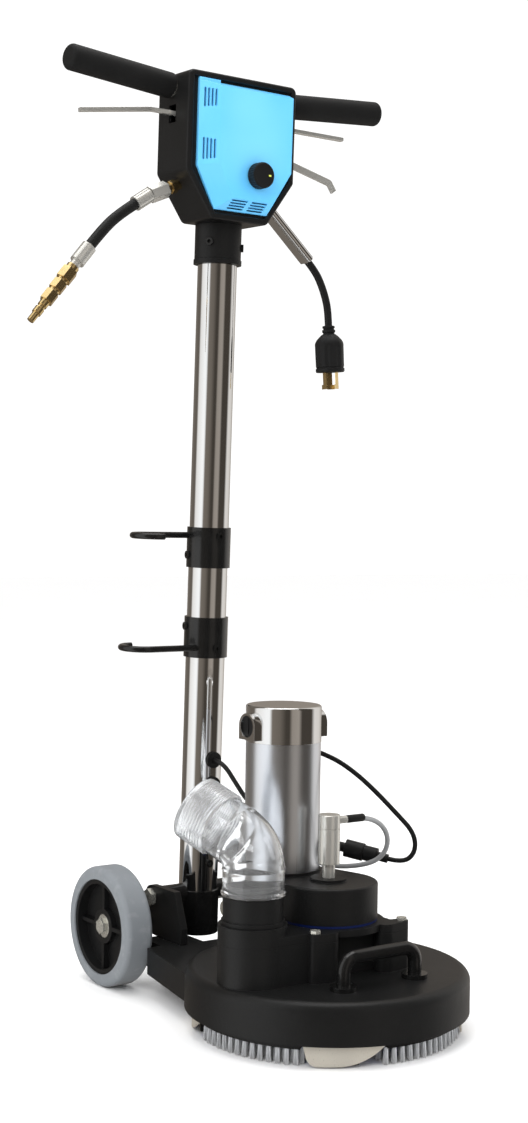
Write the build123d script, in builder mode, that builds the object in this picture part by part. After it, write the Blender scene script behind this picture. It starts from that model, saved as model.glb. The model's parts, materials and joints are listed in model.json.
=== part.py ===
from build123d import *
import math
import os

# Upright rotary floor scrubber, millimetres, +Z up, front towards -Y, floor at Z = 0.
# The origin lies on the floor, midway between the front of the shroud and the back of the wheels.

# ---------------------------------------------------------------- driving dimensions
WHEEL_R = 76.2
WHEEL_W = 38.0
WHEEL_FACE_X = 139.0
SHROUD_R = 168.0
HEAD_TO_AXLE = 299.8
HEAD_TO_PIVOT = 279.7
PIVOT_Z = 110.0
LEAN_DEG = 1.86
POLE_R = 25.4
POLE_WALL = 1.8
GRIP_REACH = 237.0

LENGTH = SHROUD_R + HEAD_TO_AXLE + WHEEL_R
HEAD_Y = SHROUD_R - LENGTH / 2
AXLE_Y = HEAD_Y + HEAD_TO_AXLE
PIVOT_Y = HEAD_Y + HEAD_TO_PIVOT

# clearances
RUN_GAP = 0.05
FREE_GAP = 0.4

# shroud and deck
SKIRT_BOTTOM = 26.0
SHROUD_TOP = 73.6
SKIRT_WALL = 5.0
ROOF = 7.0
SKIRT_ROUND = 11.0
TAIL_TOP = 62.0
TAIL_BOTTOM = 29.0
TAIL_WIDE = 142.0
TAIL_NARROW = 112.0
TAIL_STEP = 222.0
TAIL_REAR = 268.0
TAIL_TONGUE = 92.0
SEAM_Z = 119.5
FLANGE_Z = 129.5
ISLAND_HALF = 58.0
ISLAND_FRONT = -46.0
ISLAND_REAR = 104.0
CAST_WALL = 5.0
BOSS_X = 60.0
BOSS_RIGHT_X = 67.0
BOSS_Y = 55.0
BOSS_R = 8.0
HUB_R = 30.0
RIB_T = 6.0

# vacuum port, on the left of the head
PORT_X = -118.0
PORT_DY = -14.0
PORT_R = 40.0
PORT_BORE = 31.0
PORT_RING_Z = 140.5
COLLAR_R = 34.4
COLLAR_Z = 173.0
SPIGOT_H = 13.0
ELBOW_R = 35.5
ELBOW_WALL = 3.0
ELBOW_BEND_Z = 227.0
ELBOW_BEND_R = 38.0
ELBOW_REACH = 88.0
ELBOW_RISE_DEG = 25.0
ELBOW_HEADING_DEG = 113.6
CUFF_LENGTH = 40.0
CUFF_R = 39.0
CUFF_RIB_COUNT = 7

# drive: belt housing, motor, spindle, water swivel
DRUM_R = 58.5
DRUM_TOP = 174.5
DRUM_WALL = 4.0
GASKET_H = 3.0
MOTOR_X = -11.0
MOTOR_DY = 79.0
MOTOR_PAD_R = 50.0
MOTOR_SEAT_R = 47.0
MOTOR_SEAT_Z = 178.0
MOTOR_R = 45.5
MOTOR_WALL = 5.0
BELL_Z = 331.0
MOTOR_TOP = 375.0
BRUSH_BOSS_R = 16.0
BRUSH_BOSS_OUT = 9.0
BRUSH_BOSS_Z = 351.0
BRUSH_CAP_R = 13.0
ARMATURE_R = 30.0
MOTOR_SHAFT_R = 8.0
PULLEY_BIG_R = 46.0
PULLEY_SMALL_R = 14.0
PULLEY_RIM = 3.0
PULLEY_Z = 136.0
PULLEY_H = 18.0
BELT_T = 3.0
BELT_W = 12.0
SPINDLE_R = 12.5
WATERWAY_R = 3.0
BEARING_R = 23.5
BEARING_H = 14.0
WASHER_R = 21.6
WASHER_H = 3.0
STEM_R = 7.6
SWIVEL_R = 12.9
SWIVEL_Z = 194.0
SWIVEL_TOP = 252.0
SWIVEL_PORT_Z = 244.0
SWIVEL_PORT_R = 4.5
SWIVEL_PORT_OUT = 12.0

# brush head
DISC_R = 159.0
DISC_Z = 24.0
DISC_H = 6.0
DISC_BORE = 20.0
SHOE_COUNT = 4
SHOE_FIRST_DEG = 240.0
SHOE_IN = 62.0
SHOE_OUT = 156.0
SHOE_W = 34.0
SHOE_WALL = 2.0
SHOE_BOTTOM = 1.5
SHOE_END_W = 92.0
BRISTLE_ARC_DEG = 54.0
BRISTLE_ROWS = 5
BRISTLE_ROW_W = 6.0
BRISTLE_OUT = 156.0
BRISTLE_PITCH = 9.0
BLOCK_H = 5.0

# chassis: cheeks, pivot and axle
CHEEK_X = 62.0
CHEEK_T = 9.0
PIVOT_SHAFT_R = 8.0
AXLE_R = 6.35
NUT_R = 12.0
NUT_H = 7.0
AXLE_NUT_R = 10.0
CHEEK_BASE_H = 20.0
CHEEK_BASE_D = 52.0
CHEEK_TOP_H = 16.0
CHEEK_TOP_D = 36.0
WHEEL_BEARING_R = 15.0
WHEEL_BEARING_H = 11.0
HUB_OUT = 22.0
SLOT_HALF = 34.0
SLOT_FRONT = 66.0
RIM_R = 60.0
RIM_LIP = 6.0
RIM_WEB = 6.0
SPOKE_COUNT = 4
TYRE_ROUND = 7.0

# handle: distances up the pole are measured from the pivot
SOCKET_WALL = 2.1
SOCKET_TOP = 5.0
SOCKET_BOTTOM = -52.0
SPIGOT_TOP = 60.0
BARREL_R = 13.0
NECK_WALL = 4.6
NECK_BOTTOM = 815.5
BOX_BOTTOM = 866.0
BOX_SHOULDER = 923.0
BOX_TOP = 1046.0
BOX_HALF = 82.0
BOX_FOOT_HALF = 42.0
BOX_FRONT = -45.0
BOX_BACK = 26.0
BOX_WALL = 4.0
BOX_ROUND = 8.0
COVER_LEFT = -67.0
COVER_RIGHT = 70.0
COVER_TAB_RISE = 3.5
LIP_INSET = 17.0
LIP_T = 5.0
BEAD_W = 8.0
BEAD_H = 4.0
COVER_EDGE = 12.0
COVER_RISE = 18.0
COVER_WALL = 3.0
GRIP_R = 16.0
GRIP_START = 86.0
BAR_R = 12.7
BAR_WALL = 2.0
GRIP_RISE_DEG = 3.4
GRIP_SWEEP_DEG = 4.6
KNOB_X = 15.0
KNOB_S = 923.0
KNOB_R = 16.5
KNOB_H = 14.0
LEVER_T = 5.0
LEVER_W = 8.0
CLAMP_H = 52.0
CLAMP_T = 3.0
CLAMP_UPPER = 425.7
CLAMP_LOWER = 309.5
HOOK_R = 4.0
GROMMET_UPPER = 177.5
GROMMET_LOWER = 145.0
GROMMET_R = 9.5

# cords and hoses
MAINS_DIA = 10.0
HOSE_DIA = 14.0
LEAD_DIA = 6.0
WATER_DIA = 6.0

# front lifting handle
LIFT_HALF = 52.0
LIFT_DY = -97.5
LIFT_TOP = 109.0
LIFT_R = 8.0
LIFT_CORNER = 16.0

# hooks, bar, levers and knob
HOOK_RING = 26.0
BAR_S = 1024.5
BAR_V = -2.0
LEVER_S = 995.0
LEVER_EXIT_V = -11.0
TRIGGER_S = 960.0
TRIGGER_V = -14.0
LEVER_PIVOT_X = 60.0
LEVER_PIN_R = 3.0
LEVER_EYE_R = 7.0
LEVER_SLOT_H = 22.0
KNOB_SHAFT_R = 3.0

# raised panel and vents of the front cover
PANEL_LEFT = -43.0
PANEL_RIGHT = 67.0
PANEL_TOP = 1028.0
PANEL_SHOULDER = 933.0
PANEL_FOOT = 892.0
PANEL_FOOT_LEFT = -22.0
PANEL_FOOT_RIGHT = 41.0
COVER_FLANGE = 4.0
TAB_RIGHT = -36.0
VENT_W = 2.4
VENT_PITCH = 4.0

# screws, grommets and cord clamp
SCREW_R = 5.0
SCREW_H = 3.0
GROMMET_FLANGE = 4.0
CLAMP_LENGTH = 84.0

SOCKET_R = POLE_R + SOCKET_WALL
NECK_R = POLE_R + NECK_WALL

os.makedirs("parts", exist_ok=True)


def write(piece, node):
    """Label a finished sub-part and write it as its own STEP file."""
    piece.part.label = node
    export_step(piece.part, f"parts/{node}.step")


# ---------------------------------------------------------------- reference planes and points
lean = math.radians(LEAN_DEG)
handle_plane = Plane(
    origin=(0, PIVOT_Y, PIVOT_Z), x_dir=(1, 0, 0), z_dir=(0, -math.sin(lean), math.cos(lean))
)
HEAD = (0.0, HEAD_Y)
MOTOR = (MOTOR_X, HEAD_Y + MOTOR_DY)
PORT = (PORT_X, HEAD_Y + PORT_DY)


def up_pole(height):
    """Plane square to the pole, at a height above the pivot."""
    return handle_plane.offset(height)


def handle_point(x, v, s):
    """World point from handle coordinates: across, backwards and up the pole."""
    return handle_plane.from_local_coords(Vector(x, v, s))


def facing_front(v, s=0.0, x=0.0):
    """Plane square to the control box's front, drawn as seen from the front and extruded forwards."""
    return Plane(origin=handle_point(x, v, s), x_dir=(1, 0, 0), z_dir=-handle_plane.y_dir)


def ring_solid(centre, low, high, outer, inner=0.0):
    """Upright cylinder or ring between two heights."""
    with BuildPart() as ring:
        with BuildSketch(Plane.XY.offset(low)):
            with Locations(centre):
                Circle(outer)
                if inner:
                    Circle(inner, mode=Mode.SUBTRACT)
        extrude(amount=high - low)
    return ring


def drive_hull(big, small):
    """Plan of the belt drive: the hull of a circle on the head axis and one on the motor axis."""
    with BuildSketch() as hull:
        with Locations(HEAD):
            Circle(big)
        with Locations(MOTOR):
            Circle(small)
        make_hull()
    return hull.sketch


def island(inset=0.0):
    """Plan of the raised casting: centre block, motor seat, port and the web between them."""
    with BuildSketch() as plan:
        with Locations((0, HEAD_Y + (ISLAND_FRONT + ISLAND_REAR) / 2)):
            Rectangle(2 * (ISLAND_HALF - inset), ISLAND_REAR - ISLAND_FRONT - 2 * inset)
        with Locations(MOTOR):
            Circle(MOTOR_PAD_R + BOSS_R / 2 - inset)
        with Locations(PORT):
            Circle(PORT_R - inset)
        with Locations(((PORT_X - ISLAND_HALF / 2) / 2, PORT[1])):
            Rectangle(-PORT_X - ISLAND_HALF / 2, 2 * (PORT_R - inset) - 2)
    return plan.sketch


BOSSES = [(x, HEAD_Y + sy * BOSS_Y) for x in (-BOSS_X, BOSS_RIGHT_X) for sy in (-1, 1)]


def boss_ears():
    """Plan of the four bolt ears, each widening into the side of the raised casting."""
    with BuildSketch() as plan:
        for x, y in BOSSES:
            with BuildSketch(mode=Mode.PRIVATE) as ear:
                with Locations((x, y)):
                    Circle(BOSS_R)
                with Locations((math.copysign(ISLAND_HALF - 2 * BOSS_R, x), y)):
                    Circle(1.5 * BOSS_R)
                make_hull()
            add(ear.sketch)
    return plan.sketch


# ---------------------------------------------------------------- deck housing
with BuildPart() as deck_housing:
    with BuildSketch(Plane.XY.offset(SKIRT_BOTTOM)):
        with Locations(HEAD):
            Circle(SHROUD_R)
    extrude(amount=SHROUD_TOP - SKIRT_BOTTOM)
    fillet(deck_housing.edges().group_by(Axis.Z)[-1], SKIRT_ROUND)
    with BuildSketch(Plane.XY.offset(TAIL_BOTTOM)):
        with BuildLine():
            Polyline(
                (TAIL_WIDE, HEAD_Y + 80),
                (TAIL_NARROW, HEAD_Y + TAIL_STEP),
                (TAIL_TONGUE, HEAD_Y + TAIL_STEP),
                (TAIL_TONGUE, HEAD_Y + TAIL_REAR),
                (-TAIL_TONGUE, HEAD_Y + TAIL_REAR),
                (-TAIL_TONGUE, HEAD_Y + TAIL_STEP),
                (-TAIL_NARROW, HEAD_Y + TAIL_STEP),
                (-TAIL_WIDE, HEAD_Y + 80),
                close=True,
            )
        make_face()
    extrude(amount=TAIL_TOP - TAIL_BOTTOM)
    with BuildSketch(Plane.XY.offset(TAIL_TOP)):
        add(island())
        add(boss_ears())
    extrude(amount=SEAM_Z - TAIL_TOP)
    # hollow skirt, open at the floor
    with BuildSketch(Plane.XY.offset(SKIRT_BOTTOM)):
        with Locations(HEAD):
            Circle(SHROUD_R - SKIRT_WALL)
    extrude(amount=SHROUD_TOP - ROOF - SKIRT_BOTTOM, mode=Mode.SUBTRACT)
    # vacuum plenum inside the island, with the spindle hub held by four ribs
    with BuildSketch(Plane.XY.offset(SHROUD_TOP - ROOF - 1)):
        add(island(CAST_WALL))
        with Locations(HEAD):
            Circle(HUB_R, mode=Mode.SUBTRACT)
        for turn in (45, 135):
            with Locations(Location((HEAD[0], HEAD[1], 0), (0, 0, turn))):
                Rectangle(2 * SHROUD_R, RIB_T, mode=Mode.SUBTRACT)
    extrude(amount=SEAM_Z - SHROUD_TOP + ROOF + 1, mode=Mode.SUBTRACT)
    with BuildSketch(Plane.XY.offset(SHROUD_TOP - ROOF - BEARING_H)):
        with Locations(HEAD):
            Circle(HUB_R)
    extrude(amount=BEARING_H + ROOF)
    with BuildSketch(Plane.XY.offset(SHROUD_TOP - ROOF - BEARING_H)):
        with Locations(HEAD):
            Circle(BEARING_R)
    extrude(amount=BEARING_H, mode=Mode.SUBTRACT)
    with BuildSketch(Plane.XY.offset(SKIRT_BOTTOM)):
        with Locations(HEAD):
            Circle(SPINDLE_R + 4)
    extrude(amount=SEAM_Z - SKIRT_BOTTOM, mode=Mode.SUBTRACT)
    with BuildSketch(Plane.XY.offset(FLANGE_Z - BEARING_H)):
        with Locations(HEAD):
            Circle(BEARING_R)
    extrude(amount=BEARING_H, mode=Mode.SUBTRACT)
    # slot in the tail that the pole socket swings through
    with BuildSketch(Plane.XY.offset(SKIRT_BOTTOM)):
        with Locations((0, PIVOT_Y)):
            Rectangle(2 * SLOT_HALF, 2 * SLOT_FRONT)
    extrude(amount=TAIL_TOP, mode=Mode.SUBTRACT)
write(deck_housing, "deck_housing")

# ---------------------------------------------------------------- plenum cover
with BuildPart() as plenum_cover:
    with BuildSketch(Plane.XY.offset(SEAM_Z)):
        add(island())
        add(boss_ears())
    extrude(amount=FLANGE_Z - SEAM_Z)
    with BuildSketch(Plane.XY.offset(FLANGE_Z)):
        with Locations(HEAD):
            Circle(DRUM_R + BOSS_R)
        with Locations(MOTOR):
            Circle(MOTOR_PAD_R + BOSS_R / 2)
    extrude(amount=-BOSS_R)
    with BuildSketch(Plane.XY.offset(FLANGE_Z)):
        with Locations(PORT):
            Circle(PORT_R)
    extrude(amount=PORT_RING_Z - FLANGE_Z)
    with BuildSketch(Plane.XY.offset(SEAM_Z)):
        add(island(CAST_WALL))
        with Locations(HEAD):
            Circle(HUB_R, mode=Mode.SUBTRACT)
    extrude(amount=FLANGE_Z - SEAM_Z - CAST_WALL, mode=Mode.SUBTRACT)
    with BuildSketch(Plane.XY.offset(SEAM_Z)):
        with Locations(PORT):
            Circle(PORT_BORE)
        with Locations(HEAD):
            Circle(SPINDLE_R + 4)
    extrude(amount=PORT_RING_Z - SEAM_Z, mode=Mode.SUBTRACT)
    with BuildSketch(Plane.XY.offset(FLANGE_Z)):
        with Locations(HEAD):
            Circle(BEARING_R)
    extrude(amount=-BEARING_H, mode=Mode.SUBTRACT)
write(plenum_cover, "plenum_cover")

# ---------------------------------------------------------------- vacuum port collar and elbow
with BuildPart() as port_collar:
    with BuildSketch(Plane.XY.offset(PORT_RING_Z)):
        with Locations(PORT):
            Circle(COLLAR_R)
    extrude(amount=COLLAR_Z - PORT_RING_Z)
    with BuildSketch(Plane.XY.offset(PORT_RING_Z)):
        with Locations(PORT):
            Circle(COLLAR_R + 2)
    extrude(amount=5)
    with BuildSketch(Plane.XY.offset(COLLAR_Z)):
        with Locations(PORT):
            Circle(ELBOW_R - ELBOW_WALL - FREE_GAP)
    extrude(amount=SPIGOT_H)
    with BuildSketch(Plane.XY.offset(PORT_RING_Z)):
        with Locations(PORT):
            Circle(PORT_BORE - 2)
    extrude(amount=COLLAR_Z + SPIGOT_H - PORT_RING_Z, mode=Mode.SUBTRACT)
write(port_collar, "port_collar")

rise = math.radians(ELBOW_RISE_DEG)
heading = math.radians(ELBOW_HEADING_DEG)
elbow_way = Vector(
    math.cos(rise) * math.cos(heading), math.cos(rise) * math.sin(heading), math.sin(rise)
)
elbow_foot = Vector(PORT[0], PORT[1], COLLAR_Z + FREE_GAP)
elbow_bend = Vector(PORT[0], PORT[1], ELBOW_BEND_Z)
elbow_end = elbow_bend + elbow_way * ELBOW_REACH
cuff_start = elbow_bend + elbow_way * (ELBOW_REACH - CUFF_LENGTH)

with BuildPart() as elbow_pipe:
    with BuildLine() as elbow_path:
        FilletPolyline(elbow_foot, elbow_bend, elbow_end, radius=ELBOW_BEND_R)
    with BuildSketch(Plane.XY.offset(elbow_foot.Z)):
        with Locations(PORT):
            Circle(ELBOW_R)
            Circle(ELBOW_R - ELBOW_WALL, mode=Mode.SUBTRACT)
    sweep()
    with BuildSketch(Plane.XY.offset(elbow_foot.Z)):
        with Locations(PORT):
            Circle(ELBOW_R + 1.2)
            Circle(ELBOW_R - ELBOW_WALL, mode=Mode.SUBTRACT)
    extrude(amount=4)
write(elbow_pipe, "elbow_pipe")

with BuildPart() as hose_cuff:
    with BuildSketch(Plane(origin=cuff_start, z_dir=elbow_way)):
        Circle(CUFF_R)
        Circle(ELBOW_R, mode=Mode.SUBTRACT)
    extrude(amount=CUFF_LENGTH)
    for rib in range(CUFF_RIB_COUNT):
        groove_at = (rib + 1) * CUFF_LENGTH / (CUFF_RIB_COUNT + 1)
        with BuildSketch(Plane(origin=cuff_start + elbow_way * groove_at, z_dir=elbow_way)):
            Circle(CUFF_R)
            Circle(CUFF_R - 1, mode=Mode.SUBTRACT)
        extrude(amount=2, mode=Mode.SUBTRACT)
write(hose_cuff, "hose_cuff")

# ---------------------------------------------------------------- belt drive housing
with BuildPart() as drive_gasket:
    with BuildSketch(Plane.XY.offset(FLANGE_Z)):
        add(drive_hull(DRUM_R - 0.5, MOTOR_PAD_R - 0.5))
        add(drive_hull(DRUM_R - DRUM_WALL, MOTOR_PAD_R - DRUM_WALL), mode=Mode.SUBTRACT)
    extrude(amount=GASKET_H)
write(drive_gasket, "drive_gasket")

with BuildPart() as drive_cover:
    with BuildSketch(Plane.XY.offset(FLANGE_Z + GASKET_H)):
        add(drive_hull(DRUM_R, MOTOR_PAD_R))
    extrude(amount=DRUM_TOP - FLANGE_Z - GASKET_H)
    fillet(drive_cover.edges().group_by(Axis.Z)[-1], 3)
    with BuildSketch(Plane.XY.offset(DRUM_TOP)):
        with Locations(MOTOR):
            Circle(MOTOR_SEAT_R)
    extrude(amount=MOTOR_SEAT_Z - DRUM_TOP)
    with BuildSketch(Plane.XY.offset(DRUM_TOP)):
        with Locations(HEAD):
            Circle(WASHER_R)
    extrude(amount=WASHER_H)
    with BuildSketch(Plane.XY.offset(FLANGE_Z + GASKET_H)):
        add(drive_hull(DRUM_R - DRUM_WALL, MOTOR_PAD_R - DRUM_WALL))
    extrude(amount=DRUM_TOP - DRUM_WALL - FLANGE_Z - GASKET_H, mode=Mode.SUBTRACT)
    with BuildSketch(Plane.XY.offset(FLANGE_Z)):
        with Locations(HEAD):
            Circle(STEM_R + RUN_GAP)
        with Locations(MOTOR):
            Circle(MOTOR_SHAFT_R + RUN_GAP)
    extrude(amount=MOTOR_SEAT_Z - FLANGE_Z, mode=Mode.SUBTRACT)
write(drive_cover, "drive_cover")

with BuildPart() as drive_belt:
    with BuildSketch(Plane.XY.offset(PULLEY_Z + (PULLEY_H - BELT_W) / 2)):
        add(drive_hull(PULLEY_BIG_R + FREE_GAP + BELT_T, PULLEY_SMALL_R + FREE_GAP + BELT_T))
        add(drive_hull(PULLEY_BIG_R + FREE_GAP, PULLEY_SMALL_R + FREE_GAP), mode=Mode.SUBTRACT)
    extrude(amount=BELT_W)
write(drive_belt, "drive_belt")


def pulley(centre, radius, bore):
    """Flanged flat pulley: a rim at each end and a belt seat between them."""
    with BuildPart() as wheel:
        with BuildSketch(Plane.XY.offset(PULLEY_Z)):
            with Locations(centre):
                Circle(radius + PULLEY_RIM)
        extrude(amount=PULLEY_H)
        with BuildSketch(Plane.XY.offset(PULLEY_Z + (PULLEY_H - BELT_W) / 2 - FREE_GAP)):
            with Locations(centre):
                Circle(radius + PULLEY_RIM)
                Circle(radius, mode=Mode.SUBTRACT)
        extrude(amount=BELT_W + 2 * FREE_GAP, mode=Mode.SUBTRACT)
        with BuildSketch(Plane.XY.offset(PULLEY_Z)):
            with Locations(centre):
                Circle(bore)
        extrude(amount=PULLEY_H, mode=Mode.SUBTRACT)
    return wheel


write(pulley(HEAD, PULLEY_BIG_R, SPINDLE_R), "driven_pulley")
write(pulley(MOTOR, PULLEY_SMALL_R, MOTOR_SHAFT_R), "drive_pulley")

# ---------------------------------------------------------------- motor
write(ring_solid(MOTOR, MOTOR_SEAT_Z, BELL_Z, MOTOR_R, MOTOR_R - MOTOR_WALL), "motor_shell")

BOSS_END = MOTOR_R + BRUSH_BOSS_OUT

with BuildPart() as motor_end_bell:
    with BuildSketch(Plane.XY.offset(BELL_Z)):
        with Locations(MOTOR):
            Circle(MOTOR_R + 0.5)
    extrude(amount=MOTOR_TOP - BELL_Z)
    fillet(motor_end_bell.edges().group_by(Axis.Z)[-1], 3)
    for side in (-1, 1):
        boss_origin = (MOTOR[0], MOTOR[1], BRUSH_BOSS_Z)
        with BuildSketch(Plane(origin=boss_origin, x_dir=(0, 1, 0), z_dir=(side, 0, 0))):
            Circle(BRUSH_BOSS_R)
            with Locations((0, -side * BRUSH_BOSS_R / 2)):
                Rectangle(2 * BRUSH_BOSS_R, BRUSH_BOSS_R)
        extrude(amount=BOSS_END)
    with BuildSketch(Plane.XY.offset(BELL_Z)):
        with Locations(MOTOR):
            Circle(MOTOR_R - MOTOR_WALL)
    extrude(amount=MOTOR_TOP - BELL_Z - MOTOR_WALL, mode=Mode.SUBTRACT)
    with BuildSketch(Plane(origin=(MOTOR[0] - BOSS_END, MOTOR[1], BRUSH_BOSS_Z), z_dir=(1, 0, 0))):
        Circle(BRUSH_CAP_R)
    extrude(amount=2 * BOSS_END, mode=Mode.SUBTRACT)
write(motor_end_bell, "motor_end_bell")

with BuildPart() as brush_caps:
    for side in (-1, 1):
        cap_plane = Plane(
            origin=(MOTOR[0] + side * (BOSS_END - 3), MOTOR[1], BRUSH_BOSS_Z), z_dir=(-side, 0, 0)
        )
        with BuildSketch(cap_plane):
            Circle(BRUSH_CAP_R)
            Rectangle(BRUSH_CAP_R * 1.4, 2, mode=Mode.SUBTRACT)
        extrude(amount=2)
        with BuildSketch(cap_plane.offset(2)):
            Circle(BRUSH_CAP_R)
        extrude(amount=8)
write(brush_caps, "brush_caps")

with BuildPart() as motor_armature:
    with BuildSketch(Plane.XY.offset(PULLEY_Z - 4)):
        with Locations(MOTOR):
            Circle(MOTOR_SHAFT_R)
    extrude(amount=MOTOR_TOP - 10 - PULLEY_Z)
    with BuildSketch(Plane.XY.offset(MOTOR_SEAT_Z + 20)):
        with Locations(MOTOR):
            Circle(ARMATURE_R)
    extrude(amount=100)
    with BuildSketch(Plane.XY.offset(BELL_Z - 18)):
        with Locations(MOTOR):
            Circle(ARMATURE_R * 0.6)
    extrude(amount=30)
write(motor_armature, "motor_armature")

# ---------------------------------------------------------------- spindle, bearings and water swivel
SPINDLE_TOP = PULLEY_Z + PULLEY_H + 4

with BuildPart() as brush_spindle:
    with BuildSketch(Plane.XY.offset(DISC_Z)):
        with Locations(HEAD):
            Circle(DISC_BORE)
    extrude(amount=DISC_H)
    with BuildSketch(Plane.XY.offset(DISC_Z + DISC_H)):
        with Locations(HEAD):
            Circle(DISC_BORE * 1.8)
    extrude(amount=6)
    with BuildSketch(Plane.XY.offset(DISC_Z)):
        with Locations(HEAD):
            Circle(SPINDLE_R)
    extrude(amount=SPINDLE_TOP - DISC_Z)
    with BuildSketch(Plane.XY.offset(DISC_Z)):
        with Locations(HEAD):
            Circle(WATERWAY_R)
    extrude(amount=SPINDLE_TOP - DISC_Z, mode=Mode.SUBTRACT)
write(brush_spindle, "brush_spindle")

with BuildPart() as swivel_stem:
    with BuildSketch(Plane.XY.offset(SPINDLE_TOP)):
        with Locations(HEAD):
            Circle(STEM_R)
    extrude(amount=SWIVEL_Z - FREE_GAP - SPINDLE_TOP)
    with BuildSketch(Plane.XY.offset(SWIVEL_Z - FREE_GAP)):
        with Locations(HEAD):
            Circle(STEM_R * 0.66)
    extrude(amount=SWIVEL_PORT_Z - 8 - SWIVEL_Z)
    with BuildSketch(Plane.XY.offset(SPINDLE_TOP)):
        with Locations(HEAD):
            Circle(WATERWAY_R)
    extrude(amount=SWIVEL_TOP - SPINDLE_TOP, mode=Mode.SUBTRACT)
write(swivel_stem, "swivel_stem")

with BuildPart() as swivel_body:
    with BuildSketch(Plane.XY.offset(SWIVEL_Z)):
        with Locations(HEAD):
            Circle(SWIVEL_R)
    extrude(amount=SWIVEL_TOP - SWIVEL_Z)
    chamfer(swivel_body.edges().group_by(Axis.Z)[-1], 0.8)
    with BuildSketch(Plane.XY.offset(SWIVEL_TOP - 17)):
        with Locations(HEAD):
            Circle(SWIVEL_R)
            Circle(SWIVEL_R - 0.6, mode=Mode.SUBTRACT)
    extrude(amount=1, mode=Mode.SUBTRACT)
    with BuildSketch(Plane(origin=(HEAD[0], HEAD[1], SWIVEL_PORT_Z), z_dir=(1, 0, 0))):
        Circle(SWIVEL_PORT_R)
    extrude(amount=SWIVEL_R + SWIVEL_PORT_OUT)
    with BuildSketch(Plane.XY.offset(SWIVEL_Z)):
        with Locations(HEAD):
            Circle(STEM_R * 0.66 + RUN_GAP)
    extrude(amount=SWIVEL_PORT_Z - SWIVEL_Z + 2, mode=Mode.SUBTRACT)
write(swivel_body, "swivel_body")

# ---------------------------------------------------------------- rotating brush head
SHOE_ANGLES = [SHOE_FIRST_DEG + k * 360 / SHOE_COUNT for k in range(SHOE_COUNT)]
BRUSH_ANGLES = [angle + 180 / SHOE_COUNT for angle in SHOE_ANGLES]


def at_head(angle, height):
    """Plane on the head axis at a height, with x pointing out at an angle."""
    turn = math.radians(angle)
    x_dir = (math.cos(turn), math.sin(turn), 0)
    return Plane(origin=(HEAD[0], HEAD[1], height), x_dir=x_dir, z_dir=(0, 0, 1))


def ring_sector(inner, outer, arc_deg):
    """Plan of part of a ring, centred on the x axis."""
    half = math.radians(arc_deg / 2)
    near = (inner * math.cos(half), inner * math.sin(half))
    far = (outer * math.cos(half), outer * math.sin(half))
    with BuildSketch() as sector:
        with BuildLine():
            ThreePointArc((near[0], -near[1]), (inner, 0), near)
            Line(near, far)
            ThreePointArc(far, (outer, 0), (far[0], -far[1]))
            Line((far[0], -far[1]), (near[0], -near[1]))
        make_face()
    return sector.sketch


with BuildPart() as brush_disc:
    with BuildSketch(Plane.XY.offset(DISC_Z)):
        with Locations(HEAD):
            Circle(DISC_R)
            Circle(DISC_BORE, mode=Mode.SUBTRACT)
    extrude(amount=DISC_H)
    for angle in SHOE_ANGLES:
        with BuildSketch(at_head(angle, DISC_Z)):
            with Locations(((SHOE_IN + SHOE_OUT) / 2 - 6, 0)):
                Rectangle(SHOE_OUT - SHOE_IN - 40, SHOE_W - 4 * SHOE_WALL)
        extrude(amount=DISC_H, mode=Mode.SUBTRACT)
write(brush_disc, "brush_disc")

with BuildPart() as brush_blocks:
    for angle in BRUSH_ANGLES:
        with BuildSketch(at_head(angle, DISC_Z)):
            add(ring_sector(BRISTLE_OUT - BRISTLE_ROWS * BRISTLE_PITCH, BRISTLE_OUT + 1, BRISTLE_ARC_DEG))
        extrude(amount=-BLOCK_H)
write(brush_blocks, "brush_blocks")

with BuildPart() as bristle_tufts:
    for angle in BRUSH_ANGLES:
        with BuildSketch(at_head(angle, 0)):
            for row in range(BRISTLE_ROWS):
                outer = BRISTLE_OUT - row * BRISTLE_PITCH
                add(ring_sector(outer - BRISTLE_ROW_W, outer, BRISTLE_ARC_DEG - 2))
        extrude(amount=DISC_Z - BLOCK_H)
write(bristle_tufts, "bristle_tufts")

with BuildPart() as vacuum_shoes:
    for angle in SHOE_ANGLES:
        floor_plane = at_head(angle, SHOE_BOTTOM)
        with BuildSketch(floor_plane):
            with Locations(((SHOE_IN + SHOE_OUT) / 2 - 6, 0)):
                Rectangle(SHOE_OUT - SHOE_IN, SHOE_W)
                Rectangle(SHOE_OUT - SHOE_IN - 2 * SHOE_WALL, SHOE_W - 2 * SHOE_WALL, mode=Mode.SUBTRACT)
        extrude(amount=DISC_Z - SHOE_BOTTOM)
        with BuildSketch(floor_plane):
            with Locations(((SHOE_IN + SHOE_OUT) / 2 - 6, 0)):
                Rectangle(SHOE_OUT - SHOE_IN, SHOE_W)
                Rectangle(SHOE_OUT - SHOE_IN - 12, 6, mode=Mode.SUBTRACT)
        extrude(amount=SHOE_WALL)
write(vacuum_shoes, "vacuum_shoes")

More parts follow.
